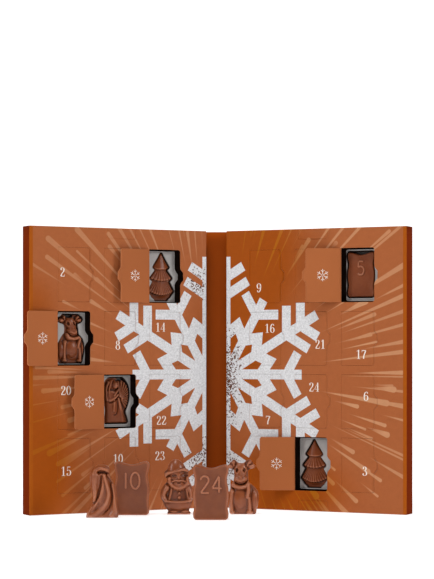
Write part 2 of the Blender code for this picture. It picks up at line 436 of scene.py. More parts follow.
def streakMask(group, plainAcross, radius, angle):
    # tapered comets, one in each angular cell of a layer
    streak = None
    for layer in streakLayers:
        cell = angle * (layer['cells'] / (2 * pi)) + layer['seed']
        number = cell.calc('FLOOR')
        white = group.nodes.new('ShaderNodeTexWhiteNoise')
        white.noise_dimensions = '1D'
        plug(group, number + layer['seed'], white.inputs['W'])
        one, two, three = splitVector(group, white.outputs['Color'])
        fromMiddle = cell - number - 0.5 + (three - 0.5) * 0.3
        side = fromMiddle * (2 * pi / layer['cells']) * radius
        inner, outer, fat = (wire * layer[key][1] + layer[key][0] for wire, key in
                             ((one, 'inner'), (two, 'outer'), (three, 'width')))
        taper = ((radius - inner) / (outer - inner)).least(1).most(0)
        past = (radius - outer).most(0)
        shape = fat * taper - (side * side + past * past).calc('SQRT')
        strength = (1 - two * 0.35) * (plainAcross.ramp(-60, 150) * 0.4 + 0.8)
        strength = strength * ((radius - inner) / 22).least(1).most(0)
        kept = Wire(group, white.outputs['Value']).above(layer['skip'])
        drawn = shape.ramp(-0.35, 0.45) * kept * strength
        streak = drawn if streak is None else streak.most(drawn)
    return streak


def spotMask(plainAcross, up, spots):
    # sum of soft oval spots, each kept to its own leaf
    total = None
    for a, b, wide, tall, strength in spots:
        da, db = (plainAcross - a) / wide, (up - b) / tall
        spot = ((da * da + db * db) * -1).calc('EXPONENT') * strength
        spot = spot * (plainAcross * (1 if a > 0 else -1)).above(0)
        total = spot if total is None else total + spot
    return total


def buildPrint():
    # masks for the foil snowflake, the streaks, the painted sheen of the copper-orange ink and the
    # foil's flecks
    inputs = [(label, 'NodeSocketFloat', 0) for label in ('Across', 'Up')]
    group, source, sink = newGroup('leafPrint', inputs, ('Foil', 'Streak', 'WarmSheen', 'Fleck'))
    plainAcross, up = Wire(group, source.outputs['Across']), Wire(group, source.outputs['Up'])
    across = plainAcross * snowflake['stretch']
    radius = (across * across + up * up).calc('SQRT')
    angle = up.calc('ARCTAN2', across)
    for label, wire in (('Foil', foilMask(radius, angle)),
                        ('Streak', streakMask(group, plainAcross, radius, angle)),
                        ('WarmSheen', spotMask(plainAcross, up, warmSheenSpots)),
                        ('Fleck', spotMask(plainAcross, up, fleckSpots))):
        plug(group, wire, sink.inputs[label])
    return group


def buildPaperGrain():
    # fine unevenness of coated card, for colour and bump
    inputs = (('Vector', 'NodeSocketVector', None), ('Fineness', 'NodeSocketFloat', 900.0))
    group, source, sink = newGroup('paperGrain', inputs, ('Tone', 'Height'))
    vector = source.outputs['Vector']
    fine = noise(group, vector, source.outputs['Fineness'], 3)
    broad = noise(group, vector, 18)
    plug(group, (broad - 0.5) * 0.16 + (fine - 0.5) * 0.10 + 1, sink.inputs['Tone'])
    plug(group, fine, sink.inputs['Height'])
    return group


leafPrint, paperGrain = buildPrint(), buildPaperGrain()
print('print groups built')

printColours = {
    'ground': rgb(163, 92, 52), 'warmSheen': rgb(154, 72, 5), 'streak': rgb(204, 152, 112),
    'warmStreak': rgb(172, 102, 14), 'foil': rgb(230, 231, 233), 'foilShade': rgb(174, 174, 176),
    # 'side' is the card darkened as painted shade of the side walls; the covers, fold creases and
    # the spine's back use it too
    'fleck': rgb(98, 64, 50), 'edgeBand': rgb(162, 80, 8), 'side': rgb(110, 36, 5),
    'inside': rgb(165, 95, 54), 'cut': rgb(206, 132, 88), 'ink': rgb(236, 226, 216),
    'spine': rgb(164, 70, 2), 'spineFoldShade': rgb(142, 55, 2),
}


printFinish = {
    'edgeBand': (4.2, 3.2),            # the dark band fades in between these, from the outer edge
    'warmSheen': (0.12, 0.85), 'streak': 0.62,
    'fleckCells': 86, 'fleckFrom': 0.012, 'foilMottle': 58,
    'roughness': 0.40, 'foilGloss': 0.06, 'shine': 0.08,
}


def toned(tree, colour, grain):
    # a colour times the card's unevenness
    grey = tree.nodes.new('ShaderNodeCombineXYZ')
    for socket in grey.inputs:
        plug(tree, grain.outputs['Tone'], socket)
    return mixColour(tree, 1.0, colour, grey.outputs[0], 'MULTIPLY')


def printedCard(name):
    # coated card with the leaf print
    material, tree, shader = newMaterial(name, printFinish['roughness'], printFinish['shine'])
    node = tree.nodes.new('ShaderNodeUVMap')
    node.uv_map = 'printMap'
    vector = node.outputs[0]
    across, up = (wire * 100 for wire in splitVector(tree, vector)[:2])
    marks = placeGroup(tree, leafPrint, Across=across, Up=up)
    grain = placeGroup(tree, paperGrain, Vector=vector, Fineness=60.0)
    band = across.size().ramp(*(leafSizes['width'] - inset for inset in printFinish['edgeBand']))
    # painted sheen of the copper-orange ink: a deeper orange ground and streaks in these spots
    warmSheen = Wire(tree, marks.outputs['WarmSheen']).ramp(*printFinish['warmSheen'])
    ground = mixColour(tree, warmSheen, printColours['ground'], printColours['warmSheen'])
    streakColour = mixColour(tree, warmSheen, printColours['streak'], printColours['warmStreak'])
    # foil: pale silver with dark flecks in cells a millimetre or so across
    cells = tree.nodes.new('ShaderNodeTexVoronoi')
    cells.inputs['Scale'].default_value = printFinish['fleckCells']
    plug(tree, vector, cells.inputs['Vector'])
    pick, shade = splitVector(tree, cells.outputs['Color'])[:2]
    thick = Wire(tree, marks.outputs['Fleck']) - printFinish['fleckFrom']
    flecked = (thick - pick).ramp(-0.01, 0.01)
    mottle = noise(tree, vector, printFinish['foilMottle'], 3, 0.75)
    shaded = shade * 0.34 + mottle.ramp(0.30, 0.72) * 0.5
    foil = mixColour(tree, shaded, printColours['foil'], printColours['foilShade'])
    foil = mixColour(tree, flecked, foil, printColours['fleck'])
    streak = Wire(tree, marks.outputs['Streak']) * (1 - band) * printFinish['streak']
    colour = mixColour(tree, streak, ground, streakColour)
    colour = mixColour(tree, band, colour, printColours['edgeBand'])
    colour = mixColour(tree, Wire(tree, marks.outputs['Foil']) * (1 - band), colour, foil)
    plug(tree, toned(tree, colour, grain), shader.inputs['Base Color'])
    rough = Wire(tree, grain.outputs['Height']) * 0.12 + printFinish['roughness']
    rough = rough - Wire(tree, marks.outputs['Foil']) * printFinish['foilGloss']
    plug(tree, rough, shader.inputs['Roughness'])
    plug(tree, bump(tree, grain.outputs['Height'], 0.12, 0.05), shader.inputs['Normal'])
    return material


def plainCard(name, colour, roughness=0.6, shine=0.08):
    # uncoated card of one colour with its grain
    material, tree, shader = newMaterial(name, roughness, shine)
    grain = placeGroup(tree, paperGrain, Vector=objectCoordinates(tree), Fineness=1100.0)
    plug(tree, toned(tree, colour, grain), shader.inputs['Base Color'])
    plug(tree, bump(tree, grain.outputs['Height'], 0.25, 0.06), shader.inputs['Normal'])
    return material


def paleInk():
    # thin ink of the numbers and stars, without a bump of its own
    material, tree, shader = newMaterial('paleInk', 0.5)
    grain = placeGroup(tree, paperGrain, Vector=objectCoordinates(tree), Fineness=900.0)
    plug(tree, toned(tree, printColours['ink'], grain), shader.inputs['Base Color'])
    return material


printMaterial = printedCard('printedCard')
insideMaterial = plainCard('doorInside', printColours['inside'])
cutMaterial = plainCard('cutCard', printColours['cut'], 0.8)
coverMaterial = plainCard('coverBoard', printColours['side'], 0.5)
# side and end walls: the card darkened as painted shade
shadedSideMaterial = plainCard('shadedSideCard', printColours['side'], 0.8, 0.01)
inkMaterial = paleInk()
leafFinishes = [printMaterial, shadedSideMaterial, cutMaterial, insideMaterial]


def spineMaterial():
    # printed spine, darkened with painted shade towards the left leaf's fold, and in the side
    # colour behind
    material, tree, shader = newMaterial('spineCard', 0.5, 0.1)
    x, y = splitVector(tree, objectCoordinates(tree))[:2]
    grain = placeGroup(tree, paperGrain, Vector=objectCoordinates(tree), Fineness=900.0)
    # painted shade towards the left leaf's fold
    paintedFoldShade = (x / mm).ramp(-10.0, -17.5)
    colour = mixColour(tree, paintedFoldShade, printColours['spine'], printColours['spineFoldShade'])
    colour = mixColour(tree, (y / mm).ramp(0.1, 0.3), colour, printColours['side'])
    plug(tree, toned(tree, colour, grain), shader.inputs['Base Color'])
    plug(tree, bump(tree, grain.outputs['Height'], 0.15, 0.05), shader.inputs['Normal'])
    return material


trayColours = {
    # the lands' two greys are a painted reflection of the lights, varied by scuffs
    'wall': rgb(46, 33, 28), 'land': rgb(152, 147, 144), 'scuffedLandReflection': rgb(170, 166, 164),
}


def trayMaterial():
    # dark glossy formed sheet; its flat lands carry a painted grey reflection of the lights, with
    # scuffs
    material, tree, shader = newMaterial('formedTray', 0.24)
    land = attributeValue(tree, 'land')
    scuff = noise(tree, objectCoordinates(tree), 420, 4, 0.6)
    paintedLandReflection = mixColour(tree, scuff, trayColours['land'], trayColours['scuffedLandReflection'])
    plug(tree, mixColour(tree, land, trayColours['wall'], paintedLandReflection), shader.inputs['Base Color'])
    plug(tree, land * 0.26 + scuff * 0.08 + 0.18, shader.inputs['Roughness'])
    plug(tree, bump(tree, scuff, 0.1, 0.05), shader.inputs['Normal'])
    return material


chocolateColours = {
    # air pits, then painted shade for the hollows and painted highlight for the crests and a loose
    # one's edges
    'pit': rgb(142, 84, 54), 'hollow': rgb(52, 22, 10), 'paintedHighlight': rgb(190, 124, 92),
}
chocolateFinishes = {
    # the dark and pale of its bloom, its shine and how much painted shade darkens its hollows; the
    # copy in the trays is darker, painted shade of the pockets
    'milkChocolate': (rgb(130, 66, 34), rgb(139, 74, 40), 0.38, 0.38),
    'milkChocolateShadedInTray': (rgb(114, 54, 24), rgb(122, 61, 30), 0.24, 0.66),
}


def chocolateMaterial(name, dark, pale, shine, inHollow):
    # milk chocolate: soft gloss, faint bloom and tiny air pits, with painted shade in its hollows
    # and painted highlight on its crests
    material, tree, shader = newMaterial(name, 0.36, shine)
    where = objectCoordinates(tree)
    cloud, speck = noise(tree, where, 90, 3, 0.6), noise(tree, where, 1400, 2, 0.5)
    colour = mixColour(tree, cloud.ramp(0.35, 0.7), dark, pale)
    colour = mixColour(tree, speck.ramp(0.62, 0.8) * 0.25, colour, chocolateColours['pit'])
    hollow = attributeValue(tree, 'hollow')
    # painted shade darkens the hollows, painted highlight pales the crests
    inside, edgeWearAndCrestHighlight = hollow.ramp(0.04, 0.9) * inHollow, hollow.ramp(-0.10, -0.9) * 0.5
    colour = mixColour(tree, inside, colour, chocolateColours['hollow'])
    colour = mixColour(tree, edgeWearAndCrestHighlight, colour, chocolateColours['paintedHighlight'])
    plug(tree, colour, shader.inputs['Base Color'])
    plug(tree, cloud * 0.12 + 0.24, shader.inputs['Roughness'])
    plug(tree, bump(tree, speck + cloud * 0.6, 0.05, 0.12), shader.inputs['Normal'])
    return material


trayFinish, spineFinish = trayMaterial(), spineMaterial()
# the chocolates in the trays take the darker copy, painted shade of their pockets
looseFinish, pocketShadedFinish = (chocolateMaterial(name, *values)
                             for name, values in chocolateFinishes.items())
print('materials built')


# The two leaves: printed faces, end flaps and fold creases.

def rayToLoop(loop, angles):
    # distance from the origin to a closed loop along each angle
    a = loop[None]
    b = np.roll(loop, -1, 0)[None]
    d = np.stack([np.cos(angles), np.sin(angles)], -1)[:, None]
    e = b - a
    bottom = d[..., 0] * e[..., 1] - d[..., 1] * e[..., 0]
    bottom = np.where(np.abs(bottom) < 1e-12, 1e-12, bottom)
    reach = (a[..., 0] * e[..., 1] - a[..., 1] * e[..., 0]) / bottom
    along = (a[..., 0] * d[..., 1] - a[..., 1] * d[..., 0]) / bottom
    good = (reach > 0) & (along >= -1e-6) & (along <= 1 + 1e-6)
    return np.where(good, reach, np.inf).min(1)


def cellBounds(tag):
    # the leaf's face cut into twelve rectangles, one round each window
    edge, r = leafSizes['width'], leafSizes['foldRadius']
    low, high = (-edge + r, -r) if tag == 'left' else (r, edge - r)
    folds = [hingeX(tag, n) for n in leafNumbers[tag][0]]
    xs = [low] + [fold - leafSizes['cellLead'] for fold in folds[1:]] + [high]
    rows = leafSizes['rows']
    zs = [leafSizes['height']] + [(a + b) / 2 for a, b in zip(rows, rows[1:])] + [0]
    return folds, xs, zs


def windowCell(box, centre, loop):
    # grid of four rings from a window's outline out to its rectangle, along rays from its middle
    x0, x1, z0, z1 = box
    corners = np.array([[x0, z0], [x1, z0], [x1, z1], [x0, z1]]) - centre
    local = loop - centre
    angles = np.concatenate([np.arctan2(local[:, 1], local[:, 0]),
                             np.arctan2(corners[:, 1], corners[:, 0])])
    angles = np.unique(np.round(angles, 6))
    inner, outer = rayToLoop(local, angles), rayToLoop(corners, angles)
    s = np.linspace(0, 1, 4)[:, None]
    reach = inner[None] * (1 - s) + outer[None] * s
    return np.stack([centre[0] + reach * np.cos(angles), centre[1] + reach * np.sin(angles)], -1)


def leafFace(tag):
    # front card as twelve window cells, and both long folds as a profile carried up the leaf
    folds, xs, zs = cellBounds(tag)
    front = -leafSizes['depth']
    grow = doorSizes['seam']
    parts, uvs = [], []
    for row, z in enumerate(leafSizes['rows']):
        for column, fold in enumerate(folds):
            centre = np.array([fold + doorSizes['width'] / 2, z])
            loop = doorLoop(grow) + [fold, z]
            cell = windowCell((xs[column], xs[column + 1], zs[row + 1], zs[row]), centre, loop)
            flat = cell.reshape(-1, 2)
            points = np.stack([flat[:, 0], np.full(len(flat), front), flat[:, 1]], -1)
            parts.append((points, gridQuads(cell.shape[0], cell.shape[1], wrap=True)))
            uvs.append(printUv(flat[:, 0], flat[:, 1]))
    r, back = leafSizes['foldRadius'], -(leafSizes['card'] + doorSizes['gap'])
    arc = np.linspace(0, pi / 2, 7)
    levels = np.linspace(0, leafSizes['height'], 25)
    for edge, turn in ((xs[0], -1), (xs[-1], 1)):
        across = np.concatenate([edge + turn * r * np.sin(arc), [edge + turn * r] * 6])
        depth = np.concatenate([front + r * (1 - np.cos(arc)), np.linspace(front + r, back, 7)[1:]])
        points, quads = sweep(across, depth, levels)
        parts.append((points, quads if turn > 0 else quads[:, ::-1]))
        uvs.append(printUv(points[:, 0], points[:, 2]))
    points, faces = joinParts(parts)
    # the window cells wind clockwise seen from the front, so they are turned to face the reader
    cellsEnd = sum(len(p[1]) for p in parts[:12])
    faces = [f[::-1] for f in faces[:cellsEnd]] + faces[cellsEnd:]
    isFold = [False] * cellsEnd + [True] * (len(faces) - cellsEnd)
    piece = addPiece(tag + 'LeafFace', places[tag].world(points), faces,
                     leafFinishes, tag + '_leaf',
                     [tag + '_carton'], np.concatenate(uvs))
    piece.data.polygons.foreach_set('use_smooth', isFold)
    # the side walls behind the folds take the card darkened as painted shade
    deep = [min(points[i][1] for i in face) > front + r * 0.6 for face in faces]
    piece.data.polygons.foreach_set('material_index', [int(d) for d in deep])
    editMesh(piece.data, lambda shell: bmesh.ops.remove_doubles(shell, verts=shell.verts,
                                                                dist=0.005 * mm))
    solidify(piece, leafSizes['card'] * 0.98, rimMaterial=2, backMaterial=3)


lockTab = {
    'middle': 101.0, 'width': 34.4, 'height': 11.4, 'proud': 0.12, 'bend': 0.5,
    'corner': 2.0, 'card': 0.35,
    'wallInset': 1.0,                  # the end wall stops this far from the leaf's long sides
}


def endFlap(tag, top):
    # end wall and lock tab as one bent strip: a profile from back to front, then down the face
    side = -1 if tag == 'left' else 1
    bend, tall, rounding = lockTab['bend'], lockTab['height'], lockTab['corner']
    back, front = -(leafSizes['card'] + doorSizes['gap']), -(leafSizes['depth'] + lockTab['proud'])
    arc = np.linspace(0, pi / 2, 6)[1:]
    wall = np.linspace(back, front + bend, 6)
    depth = np.concatenate([wall, front + bend - bend * np.sin(arc), [front] * 6])
    drop = np.concatenate([np.zeros(6), bend - bend * np.cos(arc), np.linspace(bend, tall, 7)[1:]])
    onFace = np.arange(len(depth)) >= len(wall)
    corner = np.clip((drop - tall + rounding) / rounding, 0, 1)
    half = lockTab['width'] / 2 - rounding * (1 - np.sqrt(1 - corner ** 2))
    inset = lockTab['wallInset']
    low = np.where(onFace, lockTab['middle'] - half, inset)[:, None]
    high = np.where(onFace, lockTab['middle'] + half, leafSizes['width'] - inset)[:, None]
    s = np.linspace(0, 1, 15)
    x = side * (low * (1 - s) + high * s)
    y = np.repeat(depth[:, None], len(s), 1)
    z = np.repeat((leafSizes['height'] - drop if top else drop)[:, None], len(s), 1)
    piece = addPiece('%sEndFlap%s' % (tag, 'Top' if top else 'Bottom'),
                     places[tag].world(np.stack([x.ravel(), y.ravel(), z.ravel()], -1)),
                     gridQuads(len(depth), len(s)), leafFinishes, tag + '_leaf',
                     ['%s_%s_flap' % (tag, 'top' if top else 'bottom')],
                     printUv(x.ravel(), z.ravel()), recalc=True)
    # the end walls take the card darkened as painted shade
    isWall = [abs(p.normal[2]) > 0.7 for p in piece.data.polygons]
    piece.data.polygons.foreach_set('material_index', [int(w) for w in isWall])
    turnOutward(piece, np.array([0, 0, 1.0 if top else -1.0]))
    # an even thickness would spike where the tab leaves the wall
    solidify(piece, lockTab['card'], rimMaterial=2, backMaterial=3, even=False)


def foldCrease(tag):
    # the crease between spine and leaf: a thin round strip centred on the fold line
    x, y = jointPlace(tag + '_leaf_fold')[:2]
    a = np.linspace(0, 2 * pi, 12, endpoint=False)
    z = np.linspace(0.4, leafSizes['height'] - 0.4, 9)
    r = leafSizes['creaseRadius']
    points, quads = sweep(x + r * np.cos(a), y + r * np.sin(a), z, wrap=True)
    ends = [list(range(len(a)))[::-1], list(range(len(points) - len(a), len(points)))]
    addPiece(tag + 'FoldCrease', points, quads.tolist() + ends, coverMaterial, 'spine')


for tag in leafNumbers:
    leafFace(tag)
    endFlap(tag, True)
    endFlap(tag, False)
    foldCrease(tag)
for node, finish in (('left_back_cover', coverMaterial), ('right_back_cover', coverMaterial),
                     ('spine_panel', spineFinish)):
    finishes = frame['nodes'][node].data.materials
    finishes.clear()
    finishes.append(finish)
print('leaves built')


# The doors.

doorShape = {'columns': 16, 'spread': 1.15, 'bow': 0.45, 'wornEdge': 0.3, 'wornAngle': 60}


def doorBow(x, isOpen):
    # a pulled-open door keeps a slight bow across its width
    share = np.clip(x / doorSizes['width'], 0, 1.1)
    return doorShape['bow'] * np.sin(pi * share) * (1.0 if isOpen else 0.0)


def doorPlace(tag, number, z):
    # on the fold line at the door's middle; an open door starts fully open
    joint = joints['door_%02d_fold' % number]
    angle = -joint['range_deg'][0] if number in openDoors else 0.0
    return places[tag].moved(hingeX(tag, number), -leafSizes['depth'], z, angle)


def doorPiece(tag, number, z):
    # grid from the fold line to the free edge, printed in front and plain behind
    place = doorPlace(tag, number, z)
    rows = doorRows()
    s = np.linspace(0, 1, doorShape['columns']) ** doorShape['spread']
    start = doorSizes['start']
    x = start + (doorEdge(rows)[:, None] - start) * s
    zz = np.repeat(rows[:, None], len(s), 1)
    y = doorBow(x, number in openDoors)
    points = np.stack([x.ravel(), y.ravel(), zz.ravel()], -1)
    faces = gridQuads(len(rows), len(s))
    piece = addPiece('door%02d' % number, place.world(points), faces,
                     [printMaterial, cutMaterial, insideMaterial], 'door_%02d_body' % number,
                     ['door_%02d' % number],
                     printUv(hingeX(tag, number) + x.ravel(), z + zz.ravel()))
    turnOutward(piece, -place.into)
    solidify(piece, leafSizes['card'], rimMaterial=1, backMaterial=2)
    if number in openDoors:            # the cut edge of an open door shows as a pale line
        edgeWearAndCrestHighlight = piece.modifiers.new('wornEdge', 'BEVEL')
        edgeWearAndCrestHighlight.width, edgeWearAndCrestHighlight.segments, edgeWearAndCrestHighlight.material = doorShape['wornEdge'] * mm, 1, 1
        edgeWearAndCrestHighlight.limit_method, edgeWearAndCrestHighlight.angle_limit = 'ANGLE', radians(doorShape['wornAngle'])
    return place


# The numbers on the doors and the small stars inside the open ones.

numeral = {
    'height': 9.4, 'pitch': 6.1, 'thick': 1.28, 'thin': 0.34, 'proud': 0.05,
    'flatShare': 1.9, 'thinShare': 1.15,          # of the thin stroke
}
digitLines = {
    # skeletons in a box 0.6 wide and 1 high; balls are (x, y, radius); flat and thin are the
    # lines of one width
    '0': {'lines': [[(.30 + .21 * cos(a), .5 + .48 * sin(a)) for a in np.linspace(0, 2 * pi, 25)]]},
    '1': {'lines': [[(.32, 0), (.32, 1.0)], [(.10, .84), (.20, .87), (.32, .99)],
                    [(.12, .015), (.52, .015)]], 'thin': 1},
    '2': {'lines': [[(.13, .76), (.15, .90), (.28, .98), (.44, .91), (.48, .74), (.40, .54),
                     (.24, .33), (.10, .06)],
                    [(.08, .045), (.30, .045), (.52, .045)], [(.52, .04), (.56, .24)]],
          'balls': [(.14, .76, .065)], 'flat': 1, 'thin': 2},
    '3': {'lines': [[(.13, .82), (.18, .94), (.30, .98), (.42, .92), (.45, .77), (.38, .61),
                     (.24, .54)],
                    [(.24, .54), (.42, .48), (.52, .28), (.45, .08), (.28, .015), (.14, .06),
                     (.10, .2)]],
          'balls': [(.14, .80, .065), (.12, .20, .07)]},
    '4': {'lines': [[(.42, .98), (.04, .27)], [(.03, .27), (.57, .27)], [(.42, 0), (.42, 1.0)],
                    [(.26, .015), (.57, .015)]], 'thin': 0},
    '5': {'lines': [[(.14, .95), (.48, .95)], [(.14, .97), (.12, .54)],
                    [(.12, .54), (.28, .61), (.46, .52), (.52, .31), (.44, .08), (.28, .015),
                     (.14, .06), (.10, .2)]],
          'balls': [(.12, .20, .07)], 'flat': 0, 'thin': 1},
    '6': {'lines': [[(.48, .82), (.42, .94), (.30, .98), (.15, .80), (.09, .45), (.14, .12),
                     (.30, .015), (.46, .12), (.51, .32), (.45, .52), (.31, .59), (.16, .50),
                     (.10, .36)]], 'balls': [(.47, .84, .062)]},
    '7': {'lines': [[(.08, .93), (.30, .93), (.53, .93)], [(.08, .98), (.06, .74)],
                    [(.53, .93), (.40, .62), (.29, .32), (.27, .02)]], 'flat': 0, 'thin': 1},
    '8': {'lines': [[(.30 + wide * cos(a), up + tall * sin(a)) for a in np.linspace(0, 2 * pi, 21)]
                    for up, wide, tall in ((.76, .16, .22), (.27, .21, .26))]},
}
digitLines['9'] = {'lines': [[(.6 - x, 1 - y) for x, y in digitLines['6']['lines'][0]]],
                   'balls': [(.13, .16, .062)]}


def smoothPath(points, count):
    # Catmull-Rom curve through the points, evenly spread
    p = np.asarray(points, float)
    if len(p) == 2:
        return p[0] + (p[1] - p[0]) * np.linspace(0, 1, count)[:, None]
    closed = np.allclose(p[0], p[-1])
    before = p[-2] if closed else 2 * p[0] - p[1]
    after = p[1] if closed else 2 * p[-1] - p[-2]
    q = np.concatenate([[before], p, [after]])
    t = np.linspace(0, len(p) - 1 - 1e-9, count)
    i, f = t.astype(int), (t % 1)[:, None]
    a, b, c, d = q[i], q[i + 1], q[i + 2], q[i + 3]
    return 0.5 * (2 * b + (c - a) * f + (2 * a - 5 * b + 4 * c - d) * f ** 2
                  + (3 * b - a - 3 * c + d) * f ** 3)


def ribbon(path, half):
    # flat strip of varying half width along a path of (x, z)
    step = np.gradient(path, axis=0)
    step /= np.maximum(np.linalg.norm(step, axis=1, keepdims=True), 1e-9)
    across = np.stack([-step[:, 1], step[:, 0]], -1) * half[:, None]
    count = len(path)
    a = np.arange(count - 1)
    quads = np.stack([a, a + count, a + count + 1, a + 1], -1)
    return np.concatenate([path + across, path - across]), quads


def digitParts(digit, height):
    # thick where a stroke runs upright and thin where it runs level, as in a book face
    shape, parts = digitLines[digit], []
    thick, thin = numeral['thick'] / 2, numeral['thin'] / 2
    for index, line in enumerate(shape['lines']):
        path = smoothPath(line, max(9, 5 * len(line))) * height
        step = np.gradient(path, axis=0)
        rise = np.abs(step[:, 1]) / np.maximum(np.linalg.norm(step, axis=1), 1e-9)
        half = thin + (thick - thin) * rise ** 2.2
        for key in ('flat', 'thin'):
            if index == shape.get(key):
                half = np.full(len(path), thin * numeral[key + 'Share'])
        parts.append(ribbon(path, half))
    for x, z, radius in shape.get('balls', ()):
        t = np.linspace(0, 2 * pi, 14, endpoint=False)
        disc = np.stack([x + radius * 1.05 * np.cos(t), z + radius * np.sin(t)], -1) * height
        parts.append((disc, [list(range(len(t)))]))
    return parts


def numberPiece(number, place, middle, isOpen):
    # the door's number, laid a hair in front of the printed face and following its bow
    height = numeral['height']
    text = str(number)
    width = numeral['pitch'] * len(text)
    parts = []
    for index, digit in enumerate(text):
        for points, faces in digitParts(digit, height):
            x = points[:, 0] + middle[0] - width / 2 + index * numeral['pitch'] + 0.2
            z = points[:, 1] + middle[1] - height / 2
            y = doorBow(x, isOpen) - numeral['proud']
            parts.append((np.stack([x, y, z], -1), faces))
    points, faces = joinParts(parts)
    piece = addPiece('number%02d' % number, place.world(points), faces, inkMaterial,
                     'door_%02d_body' % number, smooth=False)
    turnEach(piece, -place.into)


numberMiddles = {
    # from the gutter edge and the table, in millimetres
    2: (168.3, 250.0), 8: (105.2, 174.5), 14: (55.4, 193.5), 20: (164.4, 127.6), 22: (54.2, 94.8),
    15: (164.3, 44.2), 10: (105.0, 55.6), 23: (56.0, 57.2), 9: (38.6, 235.6), 16: (51.2, 192.4),
    21: (109.2, 175.4), 17: (155.2, 164.9), 24: (102.2, 130.4), 6: (160.6, 121.4), 7: (49.2, 94.9),
    3: (159.2, 43.6), 18: (95.0, 262.0), 5: (49.0, 240.0), 11: (150.0, 186.0), 1: (104.0, 118.0),
    4: (107.0, 236.0), 19: (150.0, 255.0), 12: (56.0, 60.0), 13: (100.0, 40.0),
}
insideStar = {'radius': 6.4, 'halfLine': 0.24, 'twig': 2.4}


def insideOrnament(number, place):
    # small plain snow star of thin lines on the inside of an open door
    middle = np.array([doorSizes['width'] * 0.52, 0.0])
    parts = []
    for k in range(6):
        a = radians(60 * k + 30)
        out = np.array([cos(a), sin(a)])
        lines = [(middle + out * 0.7, middle + out * insideStar['radius'])]
        for turn in (-55, 55):
            b = a + radians(turn)
            root = middle + out * insideStar['radius'] * 0.58
            lines.append((root, root + np.array([cos(b), sin(b)]) * insideStar['twig']))
        for start, end in lines:
            points, quads = ribbon(smoothPath([start, end], 4), np.full(4, insideStar['halfLine']))
            y = leafSizes['card'] + doorBow(points[:, 0], True) + numeral['proud']
            parts.append((np.stack([points[:, 0], y, points[:, 1]], -1), quads))
    points, faces = joinParts(parts)
    piece = addPiece('insideStar%02d' % number, place.world(points), faces, inkMaterial,
                     'door_%02d_body' % number, smooth=False)
    turnEach(piece, place.into)


for tag, table in leafNumbers.items():
    side = -1 if tag == 'left' else 1
    for row, numbers in enumerate(table):
        for number in numbers:
            z = leafSizes['rows'][row]
            place = doorPiece(tag, number, z)
            u, v = numberMiddles[number]
            numberPiece(number, place, (side * u - hingeX(tag, number), v - z), number in openDoors)
            if number in openDoors:
                insideOrnament(number, place)
print('doors built')


# The chocolates: an outline for each mould and a relief on it.

chocolateGrid = {'rows': 110, 'columns': 72, 'open': 1.0, 'closed': 0.6, 'loose': 1.25}
mould = {
    'height': 50.0, 'full': 8.9,       # what the reliefs below are drawn to
    'rim': 3.8, 'round': 1.6, 'halfWidth': 15.2,
    'headTurn': 2.7, 'legTurn': 4.2,   # how far a reindeer in a pocket leans to the right
    'paintedHighlight': -0.9,                   # painted highlight on raised numerals and on a loose one's edges
    'slabShade': 0.6,                  # painted shade added to a loose slab's ground
}


def blob(x, z, cx, cz, rx, rz, height, tilt=0.0, power=0.5):
    # half ellipsoid: height times the root of what is left of the unit circle; a lower power
    # makes it flatter on top
    a = radians(tilt)
    dx, dz = x - cx, z - cz
    u = (dx * cos(a) + dz * sin(a)) / rx
    v = (-dx * sin(a) + dz * cos(a)) / rz
    return height * np.maximum(1 - u * u - v * v, 0) ** power


def nearPath(x, z, path, count=22):
    # distance to a smooth curve through the points, and how far along it the nearest place is
    line = smoothPath(path, count)
    start, step = line[:-1], np.diff(line, axis=0)
    dx, dz = x[..., None] - start[:, 0], z[..., None] - start[:, 1]
    t = np.clip((dx * step[:, 0] + dz * step[:, 1]) / (step ** 2).sum(1), 0, 1)
    away = np.hypot(dx - t * step[:, 0], dz - t * step[:, 1])
    nearest = away.argmin(-1)
    share = (nearest + np.take_along_axis(t, nearest[..., None], -1)[..., 0]) / (count - 1)
    return away.min(-1), share


def ridge(x, z, path, wide, height):
    # round bar along a curve; wide may be the start and end half widths
    away, share = nearPath(x, z, path)
    start, end = wide if isinstance(wide, tuple) else (wide, wide)
    return height * np.sqrt(np.maximum(1 - (away / (start + (end - start) * share)) ** 2, 0))


def crease(x, z, path, wide, deep):
    # soft furrow along a curve, fading out at both ends
    away, share = nearPath(x, z, path)
    return deep * np.exp(-(away / wide) ** 2) * np.clip(np.sin(share * pi) * 2.2, 0, 1)


def softMost(layers, sharp=2.2):
    # smooth maximum, so that neighbouring forms flow into each other
    stack = np.stack(layers)
    return np.log(np.exp(stack * sharp).sum(0)) / sharp - np.log(len(layers)) / sharp * 0.15


